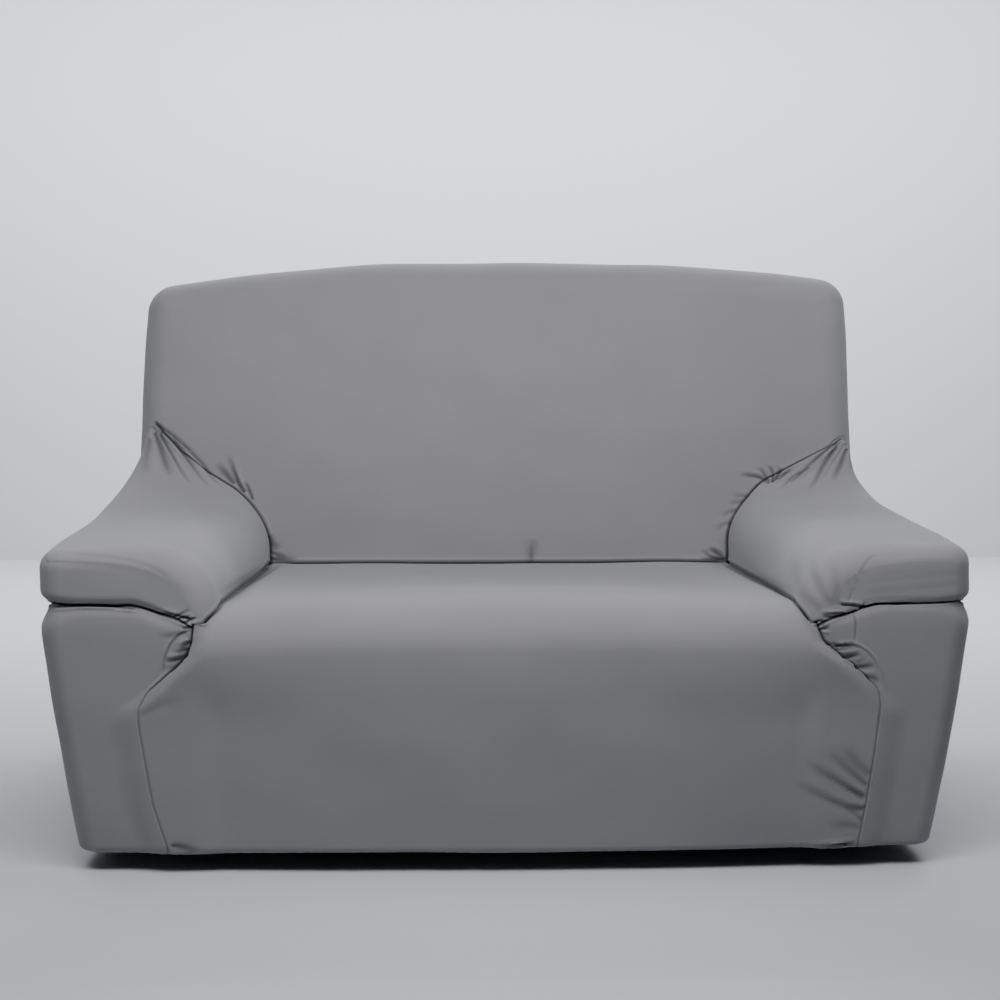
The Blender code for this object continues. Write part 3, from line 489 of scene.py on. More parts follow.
def body(points, slack=1.0):
    """Distance to arms, seat and back together, which have no rear yet; slack widens the tucks."""
    blend = mix(SMALL_FOLD * slack, APRON_BLEND, step(points[..., 2], APRON_BLEND_SPAN))
    return soft_min(soft_min(arm(points), seat(points), blend), back(points), BACK_FOLD * slack)


def rear(points):
    """Distance past the outside back."""
    return points[..., 1] - REAR


def cover(points, slack=1.0):
    """The field of the whole cover above the hem: zero on the outside of the cloth."""
    return round_max(body(points, slack), rear(points), REAR_ROUND)


def arm_meets_seat(points):
    """Zero in the tuck between an arm and the seat."""
    return arm(points) - seat(points)


def arm_meets_back(points):
    """Zero in the tuck between an arm and the back."""
    return arm(points) - back(points)


def seat_meets_back(points):
    """Zero in the tuck between the seat and the back."""
    return seat(points) - back(points)


def on_seam(points):
    """Zero on the seams between the apron and the arms' fronts."""
    x, _, z = split(points)
    return np.abs(x) - seam_half(x, z)


def rear_edge(points):
    """Zero half way round the edge between the body and its rear."""
    return body(points) - rear(points)


def at_height(height):
    """A condition that holds points at a height."""
    return lambda points: points[..., 2] - height


def at_half(half):
    """A condition that holds points at a distance from the middle."""
    return lambda points: np.abs(points[..., 0]) - half


# ---------------------------------------------------------------- points, curves and nets

SLOPE_STEP = 2e-5          # step over which a field's slope is taken
LONGEST_MOVE = 0.03        # longest move of a point in one round
LEAST_SLOPE = 0.25         # squared slopes below this count as this
EVENING_PASSES = 2         # a net is spaced and evened this often
EVENING_ROUNDS = 6         # and its points moved this often to the middle of their neighbours


def slope(field, points, value):
    """The gradient of a field: its rise over a small step along each axis, over the step."""
    shifts = SLOPE_STEP * np.eye(3)
    return np.stack([(field(points + shift) - value) / SLOPE_STEP for shift in shifts], axis=-1)


def settle(points, *fields, rounds=9):
    """Points moved to where all the fields are zero: p - pinv(J) f(p), a few times."""
    for _ in range(rounds):
        value = np.stack([field(points) for field in fields], axis=-1)
        turn = np.stack([slope(field, points, value[..., k]) for k, field in enumerate(fields)],
                        axis=-2)
        move = np.einsum("...ij,...j->...i", np.linalg.pinv(turn), value)
        length = np.linalg.norm(move, axis=-1, keepdims=True)
        points = points - move * np.minimum(1.0, LONGEST_MOVE / np.maximum(length, 1e-9))
    return points


def lay(points, rounds=5):
    """Points moved to the cloth down its slope: p - g f / (g . g), a few times."""
    for _ in range(rounds):
        value = cover(points)
        turn = slope(cover, points, value)
        share = value / np.maximum((turn * turn).sum(axis=-1), LEAST_SLOPE)
        points = points - turn * np.clip(share, -LONGEST_MOVE, LONGEST_MOVE)[..., None]
    return points


def outward(points, slack=1.0):
    """The direction out of the cloth at each point: the field's slope over its length."""
    turn = slope(lambda place: cover(place, slack), points, cover(points, slack))
    return turn / np.linalg.norm(turn, axis=-1, keepdims=True)


def run_along(points, axis=0):
    """Distance along rows or columns of points from their start, in metres."""
    steps = np.linalg.norm(np.diff(points, axis=axis), axis=-1)
    return np.cumsum(np.insert(steps, 0, 0.0, axis=axis), axis=axis)


def travel(points):
    """Distance along a curve from its start, as a share of its length."""
    run = run_along(points[:, :3])
    return run / run[-1]


def take(points, shares):
    """The points of a curve at shares of its length."""
    run = travel(points)
    return np.stack([np.interp(shares, run, column) for column in points.T], axis=1)


def gather(cells, start, end, reach):
    """Shares from 0 to 1 for a number of cells, smaller by exp(-share / reach) to each end."""
    middle = (np.arange(cells) + 0.5) / cells
    size = 1.0 - start * np.exp(-middle / reach) - end * np.exp(-(1.0 - middle) / reach)
    return np.concatenate([[0.0], np.cumsum(size)]) / size.sum()


SHARES = {name: gather(*row) for name, row in CELL_ROWS.items()}


def through(guides, samples=160):
    """A smooth curve through a few guide points, a Catmull-Rom spline."""
    guides = np.array(guides, dtype=float)
    ends = np.vstack([2.0 * guides[0] - guides[1], guides, 2.0 * guides[-1] - guides[-2]])
    places = np.linspace(0.0, len(guides) - 1.0, samples)
    first = np.minimum(places.astype(int), len(guides) - 2)
    t = (places - first)[:, None]
    a, b, c, d = (ends[first + k] for k in range(4))
    return 0.5 * (2.0 * b + (c - a) * t + (2.0 * a - 5.0 * b + 4.0 * c - d) * t ** 2
                  + (3.0 * b - a - 3.0 * c + d) * t ** 3)


def corner(guess, *fields):
    """One point of the cover on the given conditions."""
    return settle(np.array(guess, dtype=float)[None], cover, *fields, rounds=16)[0]


def curve(guides, shares, *fields, sewn=("none", "none"), by=1.0):
    """A curve on the cover near some guide points, on the given conditions, at given shares.
    Each row is x, y, z and then how far and how widely its sewing draws the cloth in, which
    changes from the first kind of sewing to the second by a share of the length."""
    fixed = np.array([guides[0], guides[-1]], dtype=float)
    points = settle(through(guides), cover, *fields)
    points[[0, -1]] = fixed
    points = settle(take(points, shares), cover, *fields, rounds=5)
    points[[0, -1]] = fixed
    first, last = (np.array(DRAW[kind]) for kind in sewn)
    return np.hstack([points, mix(first, last, ease(travel(points) / by)[:, None])])


def thin(points, every=2):
    """Every second or third point of a curve, whose count of cells that number divides."""
    return points[::every]


def join(*curves):
    """Curves end to end as one row of points."""
    rows = [curves[0]] + [piece[1:] for piece in curves[1:]]
    return np.concatenate(rows)


def patch(bottom, top, left, right):
    """A net on the cover between four curves: their Coons patch, laid on the cloth and then
    spaced along its columns as the sides are. Returns its points and how far its edges' sewing
    draws it in."""
    edges = [np.asarray(edge)[:, 3:] for edge in (bottom, top, left, right)]
    bottom, top, left, right = (edge[:, :3] for edge in (bottom, top, left, right))
    v_left, v_right = travel(left)[:, None], travel(right)[:, None]
    u_bottom, u_top = travel(bottom)[None], travel(top)[None]
    u = mix(u_bottom, u_top, 0.5 * (v_left + v_right))
    v = mix(v_left, v_right, u)
    u, v = u[..., None], v[..., None]
    between = mix(bottom[None], top[None], v) + mix(left[:, None], right[:, None], u)
    flat = mix(mix(bottom[0], bottom[-1], u), mix(top[0], top[-1], u), v)
    net = lay(between - flat, rounds=8)
    for _ in range(EVENING_PASSES):
        for column in range(1, net.shape[1] - 1):
            net[:, column] = take(net[:, column], v[:, column, 0])
        for _ in range(EVENING_ROUNDS):
            inner = net[:-2, 1:-1] + net[2:, 1:-1] + net[1:-1, :-2] + net[1:-1, 2:]
            net[1:-1, 1:-1] = 0.25 * inner
        net = lay(net, rounds=3)
        net[0], net[-1], net[:, 0], net[:, -1] = bottom, top, left, right
    return net, drawn_by_edges(net, edges)


def drawn_by_edges(net, edges):
    """How far the sewing of a net's four edges draws it in at each point: for each edge
    depth (exp(-s^2) - LIP exp(-(s - LIP_PLACE)^2)), where s is distance / width."""
    down, across = run_along(net, 0), run_along(net, 1)
    away = (down, down[-1:] - down, across, across[:, -1:] - across)
    bottom, top, left, right = edges
    spread = (bottom[None], top[None], left[:, None], right[:, None])
    total = 0.0
    for distance, rule in zip(away, spread):
        share = distance / rule[..., 1]
        lip = LIP * np.exp(-(share - LIP_PLACE) ** 2)
        total = total + rule[..., 0] * (np.exp(-share ** 2) - lip)
    return total


# ---------------------------------------------------------------- the lines between the panels

def seam_guess(side, height):
    """A point near a front seam at a height, with x as on the arm at +X; side is -1 or +1."""
    return np.interp(height, SEAM["height"], SEAM[side]), 0.0, height


def mirrored(guess, side):
    """A point given for the arm at +X, on the arm of the given side."""
    return np.array(guess) * (side, 1.0, 1.0)


def side_corners(side):
    """The corners where one arm's curves meet: each is settled from a guess on conditions."""
    tip_half = ARMS[side]["tip_half"]
    seat_corner, groove_start = (seam_guess(side, z) for z in (SEAT_CORNER_HEIGHT, GROOVE_START))
    guesses = {
        "seat_back": ((0.445, 0.530, 0.405), arm_meets_seat, seat_meets_back),
        "seat_front": (seat_corner, arm_meets_seat, at_height(SEAT_CORNER_HEIGHT)),
        "groove_in": (groove_start, on_seam, at_height(GROOVE_START)),
        "foot_front": (seam_guess(side, HEM_ROUND), on_seam, at_height(HEM_ROUND)),
        "tip": ((tip_half, 0.600, 0.660), arm_meets_back, at_half(tip_half)),
        "pad_corner": ((0.722, 0.014, 0.470),),
        "groove_out": ((0.716, 0.020, GROOVE_LINE), at_height(GROOVE_LINE)),
        "foot_corner": ((0.680, 0.030, HEM_ROUND), at_height(HEM_ROUND)),
        "seam_rear": ((0.705, 0.885, SIDE_SEAM_HEIGHT), rear_edge, at_height(SIDE_SEAM_HEIGHT)),
        "groove_rear": ((0.725, 0.885, GROOVE_LINE), rear_edge, at_height(GROOVE_LINE)),
        "foot_rear": ((0.682, 0.885, HEM_ROUND), rear_edge, at_height(HEM_ROUND)),
        "top_front": ((0.700, 0.660, 0.925), at_height(TOP_CORNER_HEIGHT)),
        "top_rear": ((0.700, 0.850, 0.925), rear_edge, at_height(TOP_CORNER_HEIGHT)),
    }
    return {name: corner(mirrored(guess, side), *fields)
            for name, (guess, *fields) in guesses.items()}


def side_curves(side, corners):
    """The curves of one arm, each from one corner to another past a few guides."""
    rim = "rim" if side < 0 else "none"
    along, over, pad, down = (SHARES[name] for name in ("along_arm", "over_arm", "pad", "down"))
    up, over_back = SHARES["up_back"], SHARES["over_back"]
    beside = join(thin(along, 3) * ARM_SHARE, ARM_SHARE + (1.0 - ARM_SHARE) * thin(over_back))
    seam_heights = np.linspace(GROOVE_START, HEM_ROUND, SEAM_GUIDES)[1:-1]
    low, line, top = HEM_ROUND, GROOVE_LINE, TOP_CORNER_HEIGHT

    def run(start, end, guides, *rules, **sewing):
        """A curve between two corners, past guides given as on the arm at +X."""
        guides = [mirrored(guide, side) for guide in guides]
        return curve([corners[start], *guides, corners[end]], *rules, **sewing)

    return {
        "arm_tuck": run("seat_back", "seat_front", [(0.462, 0.300, 0.410), (0.482, 0.100, 0.405)],
                        1.0 - along[::-1], arm_meets_seat, sewn=("tuck", "tuck")),
        "back_tuck": run("seat_back", "tip", [(0.440, 0.530, 0.450), (0.462, 0.545, 0.505),
                                              (0.530, 0.565, 0.555), (0.600, 0.580, 0.595)],
                         over, arm_meets_back, sewn=("tuck", "seam")),
        "seam_top": run("seat_front", "groove_in", [], pad, on_seam, sewn=("tuck", "groove")),
        "seam": run("groove_in", "foot_front", [seam_guess(side, z) for z in seam_heights],
                    down, on_seam, sewn=("groove", "seam"), by=SEAM_NARROWS),
        "rim": run("seat_front", "pad_corner", [(0.512, 0.005, 0.408), (0.538, 0.002, 0.440),
                                                (0.575, 0.004, 0.460), (0.640, 0.004, 0.470)],
                   over, sewn=("none", rim)),
        "pad_edge": run("pad_corner", "tip", [(0.733, 0.100, 0.488), (0.733, 0.340, 0.500),
                                              (0.730, 0.500, 0.535), (0.718, 0.570, 0.590)],
                        along, sewn=(rim, "none")),
        "side_seam": run("tip", "seam_rear", [(0.714, 0.680, 0.655), (0.715, 0.780, 0.645)],
                         over_back, sewn=("none", "seam")),
        "groove": run("groove_in", "groove_out", [(0.530, 0.006, 0.386), (0.572, 0.012, 0.398),
                                                  (0.612, 0.014, 0.406), (0.660, 0.014, line)],
                      over, sewn=("groove", "groove")),
        "corner_pad": run("pad_corner", "groove_out", [], pad),
        "corner_low": run("groove_out", "foot_corner", [(0.716, 0.016, 0.300),
                                                        (0.700, 0.020, 0.120)], down),
        "groove_side": run("groove_out", "groove_rear", [(0.738, 0.300, line),
                                                         (0.738, 0.600, line)],
                           beside, sewn=("groove", "none")),
        "rear_pad": run("seam_rear", "groove_rear", [], pad, rear_edge, sewn=("seam", "seam")),
        "rear_low": run("groove_rear", "foot_rear", [(0.722, 0.886, 0.250)], down, rear_edge,
                        sewn=("seam", "seam")),
        "foot_front": run("foot_front", "foot_corner", [], over, at_height(low)),
        "foot_side": run("foot_corner", "foot_rear", [(0.696, 0.300, low), (0.696, 0.600, low)],
                         beside, at_height(low)),
        "edge_up": run("tip", "top_front", [(0.700, 0.618, 0.750), (0.700, 0.640, 0.850)], up),
        "over_top": run("top_front", "top_rear", [(0.702, 0.730, top), (0.702, 0.800, top)],
                        over_back, at_height(top)),
        "rear_up": run("seam_rear", "top_rear", [(0.700, 0.886, 0.800)], up, rear_edge,
                       sewn=("seam", "seam")),
    }


@lru_cache(maxsize=1)
def all_curves():
    """The curves of the arm at -X, those from side to side, and those of the arm at +X."""
    left, right = (side_corners(side) for side in (-1, 1))

    def run(name, guides, *fields, **sewing):
        """A curve from a corner on the left, past guides, to the same corner on the right."""
        return curve([left[name], *guides, right[name]], SHARES["across"], *fields, **sewing)

    middle = {
        "seat_tuck": run("seat_back", [(0.0, 0.540, 0.405)], seat_meets_back,
                         sewn=("tuck", "tuck")),
        "foot": run("foot_front", [(0.0, -0.010, HEM_ROUND)], at_height(HEM_ROUND)),
        "top_edge": run("top_front", [(-0.600, 0.695, 0.966), (-0.400, 0.700, 0.975),
                                      (0.0, 0.700, 0.985), (0.400, 0.700, 0.975),
                                      (0.600, 0.695, 0.966)]),
        "rear_top": run("top_rear", [(-0.600, 0.886, 0.966), (-0.400, 0.886, 0.980),
                                     (0.0, 0.886, 0.988), (0.400, 0.886, 0.980),
                                     (0.600, 0.886, 0.966)], rear_edge, sewn=("seam", "seam")),
        "foot_rear": run("foot_rear", [(0.0, REAR, HEM_ROUND)], at_height(HEM_ROUND)),
    }
    return side_curves(-1, left), middle, side_curves(1, right)


# ---------------------------------------------------------------- folds and slack

def along_path(points, path):
    """Each point's distance from a path of straight steps, its share along the path, and the side
    it lies on: the sign of (point - path) x run, seen from above and in front."""
    best = np.full(len(points), np.inf)
    share, side = np.zeros(len(points)), np.ones(len(points))
    for leg, (first, last) in enumerate(zip(path[:-1], path[1:])):
        run = last - first
        t = unit((points - first) @ run / (run @ run))
        away = points - first - t[:, None] * run
        distance = np.linalg.norm(away, axis=1)
        nearer = distance < best
        best = np.where(nearer, distance, best)
        share = np.where(nearer, (leg + t) / (len(path) - 1), share)
        turned = np.cross(away, run)
        side = np.where(nearer, np.sign(turned[:, 2] - FACING * turned[:, 1]), side)
    return best, share, side


@lru_cache(maxsize=1)
def mark_paths():
    """The path of each mark, a smooth curve laid on the cloth."""
    return [lay(through(np.array(mark["points"]) / PER_METRE, samples=MARK_POINTS))
            for mark in MARKS]


def folded(points):
    """How far the marks draw the cloth in, and how much painted shade each point takes from them:
    for each one depth (exp(-(d / w)^2) - ridge exp(-((d - RIDGE_PLACE w) / w)^2) on one side),
    where a fold fades as 1 - share^FOLD_FADE."""
    drawn, inside = np.zeros(len(points)), np.zeros(len(points))
    for mark, path in zip(MARKS, mark_paths()):
        width, depth = mark["width"] / PER_METRE, mark["depth"] / PER_METRE
        low, high = path.min(axis=0) - MARK_REACH * width, path.max(axis=0) + MARK_REACH * width
        near = np.all((points > low) & (points < high), axis=-1)
        if not near.any():
            continue
        away, share, side = along_path(points[near], path)
        if mark["fades"]:
            widths = width * mix(*FOLD_WIDENS, share)
            fade = unit(share / FOLD_START) * (1.0 - share ** FOLD_FADE)
        else:
            widths = width
            fade = unit(LINE_ENDS * share * (1.0 - share))
        trough = np.exp(-(away / widths) ** 2)
        ridge = np.exp(-((away - RIDGE_PLACE * widths) / widths) ** 2)
        ridge = ridge * (side * mark["ridge"] > 0.0)
        drawn[near] += depth * fade * (trough - abs(mark["ridge"]) * ridge)
        # painted shade: narrow, deep marks darken the knit's colour the most
        inside[near] += fade * unit(depth / DARK_DEPTH) * unit(DARK_WIDTH / width) * trough
    return drawn, inside


def swell(points):
    """The cloth's slow unevenness: a sum of sine waves across space."""
    x, y, z = split(points)
    total = np.zeros(points.shape[:-1])
    for a, b, c, phase, height in SWELL_ROWS:
        bend = SWELL_BEND * np.sin(2.0 * np.pi * (b * x - a * z) + phase)
        total += height * np.sin(2.0 * np.pi * (a * x + b * y + c * z) + phase + bend)
    return total


# ---------------------------------------------------------------- panels

def wall(bottom, top, left, right, u_from="left", v_from="bottom"):
    """A net above the hem: its points, the way out of the cloth, how far its sewing draws it in,
    and where each point lies in the flat knit, measured in metres from the named edges."""
    net, sewing = patch(bottom, top, left, right)
    across, down = run_along(net, 1), run_along(net, 0)
    u = {"left": across, "right": across - across[:, -1:], "middle": across - 0.5 * across[:, -1:]}
    v = {"bottom": down, "top": down - down[-1:]}
    return net, outward(net, NORMAL_SLACK), sewing, np.stack([u[u_from], v[v_from]], axis=-1)


def hem(edge, turn):
    """The cloth from the foot of a wall round a quarter circle and level under the sofa, drawn
    up in small gathers that grow as 1 - cos towards the hem's own edge."""
    edge = edge[:, :3]
    level = outward(edge) * (1.0, 1.0, 0.0)
    level /= np.linalg.norm(level, axis=1, keepdims=True)
    angle = np.radians(np.linspace(0.0, 90.0, HEM_POINTS))[:, None, None]
    normals = level * np.cos(angle) + np.array((0.0, 0.0, -1.0)) * np.sin(angle)
    points = edge + HEM_ROUND * (normals - level)
    under = np.linspace(0.0, 1.0, HEM_POINTS)[1:, None, None]
    flat = points[-1] - level * (turn - HEM_ROUND) * under
    points = np.concatenate([points, flat])
    normals = np.concatenate([normals, np.broadcast_to(normals[-1], flat.shape)])

    run = run_along(edge)
    from_end = np.minimum(run, run[-1] - run)
    rising = 1.0 - np.cos(np.linspace(0.0, 0.5 * np.pi, len(points)))[:, None]
    wave = np.sin(2.0 * np.pi * run / GATHER_LENGTH + 2.0 * np.sin(run / GATHER_WANDER))
    gathers = HEM_GATHER * rising * (1.0 + wave) * unit(from_end / GATHER_END)
    seams = HEM_SEAM[0] * np.exp(-(from_end / HEM_SEAM[1]) ** 2)
    sewing = gathers + seams * (1.0 - rising)
    flat_knit = np.stack([np.broadcast_to(run, sewing.shape), run_along(points, 0)], axis=-1)
    return points, normals, sewing, flat_knit


def weld(nets):
    """One set of points, ways out and sewing from nets that share edges, with outward quads and
    the flat knit's place at each of their corners."""
    parts, start = [], 0
    for net, out, drawn, place in nets:
        rows, columns = net.shape[:2]
        index = np.arange(rows * columns).reshape(rows, columns)
        quad = np.stack([index[:-1, :-1], index[:-1, 1:], index[1:, 1:], index[1:, :-1]], axis=-1)
        quad = quad.reshape(-1, 4)
        net, out = net.reshape(-1, 3), out.reshape(-1, 3)
        facing = np.cross(net[quad[:, 2]] - net[quad[:, 0]], net[quad[:, 3]] - net[quad[:, 1]])
        if np.sum(facing * out[quad[:, 0]]) < 0.0:
            quad = quad[:, ::-1]
        parts.append((net, out, drawn.reshape(-1), quad + start, place.reshape(-1, 2)[quad]))
        start += len(net)
    points, normals, sewing, quads, places = (np.concatenate(part) for part in zip(*parts))
    _, first, index, uses = np.unique(np.round(points, WELD_DECIMALS), axis=0, return_index=True,
                                      return_inverse=True, return_counts=True)
    index = index.reshape(-1)
    sewing = np.bincount(index, weights=sewing) / uses
    return points[first], normals[first], sewing, index[quads], places


def loose_edges(quads, count):
    """The directed edges that belong to one quad only."""
    starts, ends = quads.reshape(-1), np.roll(quads, -1, axis=1).reshape(-1)
    alone = ~np.isin(starts * count + ends, ends * count + starts)
    return np.stack([starts[alone], ends[alone]], axis=1)


def sheet_mesh(name, outside, under, quads, places):
    """A closed mesh of the cloth's outer and inner face, joined round their loose edges, with
    the place in the flat knit as its UV map."""
    count = len(outside)
    edges = loose_edges(quads, count)
    cut = np.stack([edges[:, 1], edges[:, 0], edges[:, 0] + count, edges[:, 1] + count], axis=1)
    faces = np.concatenate([quads, quads[:, ::-1] + count, cut])
    knit = np.concatenate([places, places[:, ::-1], np.zeros((len(cut), 4, 2))])

    mesh = bpy.data.meshes.new(name)
    mesh.vertices.add(2 * count)
    mesh.loops.add(faces.size)
    mesh.polygons.add(len(faces))
    mesh.vertices.foreach_set("co", (np.vstack([outside, under]) - ORIGIN).ravel())
    mesh.loops.foreach_set("vertex_index", faces.ravel())
    mesh.polygons.foreach_set("loop_start", np.arange(0, faces.size, 4))
    mesh.update(calc_edges=True)
    mesh.uv_layers.new(name="cut").data.foreach_set("uv", knit.ravel())
    mesh.shade_smooth()
    mesh.set_sharp_from_angle(angle=SHARP_ANGLE)
    return mesh


def panel(name, nets):
    """A sewn panel as a closed sheet of knit, riding on the root and standing for its CAD node."""
    sizes = bpy.context.scene.cover_sizes
    points, normals, sewing, quads, places = weld(nets)
    drawn, inside = folded(points)
    turns = sewing * sizes.seam_strength + drawn * sizes.fold_strength
    slack = swell(points) * sizes.unevenness
    outside = points - normals * (turns - slack)[:, None]
    under = outside - normals * sizes.knit_thickness
    mesh = sheet_mesh(name, outside, under, quads, places)

    # Painted shade: the knit is darkened by how far tucks, seams, grooves, hem gathers and folds
    # draw it in.
    dark = unit(unit(sewing / TUCK_DARK_DEPTH) + FOLD_DARK_SHARE * unit(inside))
    painted_shade = mesh.attributes.new("painted_shade", "FLOAT", "POINT")
    painted_shade.data.foreach_set("value", np.tile(dark, 2).astype(np.float32))
    mesh.materials.append(knit_material())

    piece = bpy.data.objects.new(name, mesh)
    bpy.context.scene.collection.objects.link(piece)
    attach(piece, "root")
    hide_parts(name.removesuffix("_cloth"))


# ---------------------------------------------------------------- materials

class Value:
    """A number in a shader: one output socket, whose arithmetic adds Math nodes."""

    def __init__(self, bench, socket):
        self.bench, self.socket = bench, socket

    def math(self, operation, *terms):
        """The result of one Math node on some values."""
        return self.bench.add("ShaderNodeMath", {"operation": operation}, dict(enumerate(terms)))

    def __add__(self, other):
        return self.math("ADD", self, other)

    def __sub__(self, other):
        return self.math("SUBTRACT", self, other)

    def __rsub__(self, other):
        return self.math("SUBTRACT", other, self)

    def __mul__(self, other):
        return self.math("MULTIPLY", self, other)

    def __truediv__(self, other):
        return self.math("DIVIDE", self, other)

    def __pow__(self, other):
        return self.math("POWER", self, other)

    def __abs__(self):
        return self.math("ABSOLUTE", self)

    def sine(self):
        return self.math("SINE", self)

    def fraction(self):
        return self.math("FRACT", self)

    __radd__ = __add__
    __rmul__ = __mul__


class Bench:
    """A node tree to which shader nodes are added."""

    def __init__(self, tree):
        self.tree = tree
        tree.nodes.clear()

    def add(self, kind, settings=None, values=None, output=0):
        """A node of a type, with its settings and then its sockets' values or links. Returns one
        of its outputs."""
        node = self.tree.nodes.new(kind)
        for name, setting in (settings or {}).items():
            setattr(node, name, setting)
        for name, value in (values or {}).items():
            if isinstance(value, Value):
                self.tree.links.new(value.socket, node.inputs[name])
            else:
                node.inputs[name].default_value = value
        return Value(self, node.outputs[output]) if node.outputs else node

    def split(self, vector):
        """The x and y of a vector."""
        found = self.add("ShaderNodeSeparateXYZ", {}, {"Vector": vector})
        node = found.socket.node
        return Value(self, node.outputs["X"]), Value(self, node.outputs["Y"])

    def noise(self, vector, scale):
        """Smooth noise about 0.5."""
        return self.add("ShaderNodeTexNoise", {}, {"Vector": vector, "Scale": scale})

    def blend(self, share, first, second):
        """One colour where the share is 0, another where it is 1."""
        settings = {"data_type": "RGBA"}
        return self.add("ShaderNodeMix", settings, {0: share, 6: first, 7: second}, output=2)


# The knit's stitches and yarn, and the floor
STITCH_SLANT = 0.9         # how far a stitch slants across one column, in rows
LEG_SHARE = 0.55           # shares of a stitch's relief: across its column, and up it
ROW_SHARE = 0.45
HEATHER_SCALE = 900.0      # specks of the heathered yarn to a metre
CLOUD_SCALE = 7.0          # slow changes of shade to a metre
CLOUD = 0.16               # how strong these are
STITCH_SHADE = 0.10        # and how far the stitches' relief shades the cloth
CONTRAST = 3.0             # how strongly the shade moves the yarn between its two greys
YARN_SHADES = (0.86, 1.14)  # darkest and lightest yarn, as shares of the knit's colour
RELIEF = 0.0003            # height of the stitches
KNIT_ROUGHNESS = 0.80
ROUGHNESS_SPREAD = 0.12    # how far the heather changes it
FLOOR_PATCHES = 1.5        # faint patches of the floor to a metre
FLOOR_MOTTLE = 0.985       # and their darkest shade, as a share of its colour


def shade_of(colour, share=1.0):
    """A share of a colour, with its alpha."""
    return (*(share * channel for channel in colour), 1.0)


def knit_material():
    """Fine stretch knit: rows of V-shaped stitches, heathered grey, with painted shade in creases.
    A stitch's height is a parabola across each half of its column, which rises from the middle,
    and a sine wave up the column, which comes later away from the middle and so slants."""
    name = "grey_stretch_knit"
    if name in bpy.data.materials:
        return bpy.data.materials[name]
    look = bpy.context.scene.cover_look
    material = bpy.data.materials.new(name)
    material.use_nodes = True
    bench = Bench(material.node_tree)

    place = bench.add("ShaderNodeUVMap", {"uv_map": "cut"})
    solid = bench.add("ShaderNodeTexCoord", {}, output=3)
    # painted shade: how far each point is darkened in its tucks, seams and folds
    painted_shade = bench.add("ShaderNodeAttribute", {"attribute_name": "painted_shade"}, output=2)

    u, v = bench.split(place)
    lean = abs((u / look.wale).fraction() - 0.5)
    course = (v / look.course + STITCH_SLANT * lean) * (2.0 * np.pi)
    row = 0.5 + 0.5 * course.sine()
    legs = 1.0 - (2.0 * lean - 1.0) ** 2.0
    loops = LEG_SHARE * legs + ROW_SHARE * row

    heather = bench.noise(solid, HEATHER_SCALE) - 0.5
    cloud = bench.noise(solid, CLOUD_SCALE) - 0.5
    shade = heather * look.heather + cloud * CLOUD + (loops - 0.5) * STITCH_SHADE
    dark, light = (shade_of(look.colour, share) for share in YARN_SHADES)
    knit = bench.blend(0.5 + shade * CONTRAST, dark, light)
    # Painted shade: the knit turns towards the near-black tuck colour down in tucks, seams and
    # folds.
    colour = bench.blend(painted_shade * look.painted_shade_strength, knit, shade_of(look.painted_shade_colour))

    bump = bench.add("ShaderNodeBump", {}, {
        "Strength": look.bump, "Distance": RELIEF, "Height": loops})
    shader = bench.add("ShaderNodeBsdfPrincipled", {}, {
        "Base Color": colour,
        "Roughness": KNIT_ROUGHNESS + heather * ROUGHNESS_SPREAD,
        "Sheen Weight": look.sheen,
        "Sheen Roughness": 0.45,
        "Sheen Tint": (0.92, 0.96, 1.0, 1.0),
        "Specular IOR Level": 0.35,
        "Normal": bump,
    })
    bench.add("ShaderNodeOutputMaterial", {}, {"Surface": shader})
    material.diffuse_color = shade_of(look.colour)
    return material


def floor_material():
    """Plain pale matt floor with a very faint mottle."""
    look = bpy.context.scene.cover_stage
    material = bpy.data.materials.new("pale_floor")
    material.use_nodes = True
    bench = Bench(material.node_tree)
    solid = bench.add("ShaderNodeTexCoord", {}, output=3)
    low, high = shade_of(look.floor_colour, FLOOR_MOTTLE), shade_of(look.floor_colour)
    shader = bench.add("ShaderNodeBsdfPrincipled", {}, {
        "Base Color": bench.blend(bench.noise(solid, FLOOR_PATCHES), low, high),
        "Roughness": 0.9,
        "Specular IOR Level": 0.1,
    })
    bench.add("ShaderNodeOutputMaterial", {}, {"Surface": shader})
    return material


# ---------------------------------------------------------------- what a user may change

class CoverSizes(bpy.types.PropertyGroup):
    """Sizes of the cloth and its sewing."""

    knit_thickness: bpy.props.FloatProperty(
        name="Knit thickness", description="Thickness of the stretch knit",
        default=0.0016, min=0.001, max=0.003, unit="LENGTH")
    hem_turn: bpy.props.FloatProperty(
        name="Hem turn", description="How far the hem runs under the sofa",
        default=0.030, min=0.015, max=0.060, unit="LENGTH")
    seam_strength: bpy.props.FloatProperty(
        name="Seam strength", description="How strongly seams and tucks draw the cloth in",
        default=1.0, min=0.0, max=2.0, subtype="FACTOR")
    fold_strength: bpy.props.FloatProperty(
        name="Fold strength", description="Depth of the pleats and gathers",
        default=1.0, min=0.0, max=2.0, subtype="FACTOR")
    unevenness: bpy.props.FloatProperty(
        name="Unevenness", description="Strength of the slow swells of the slack cloth",
        default=1.0, min=0.0, max=3.0, subtype="FACTOR")


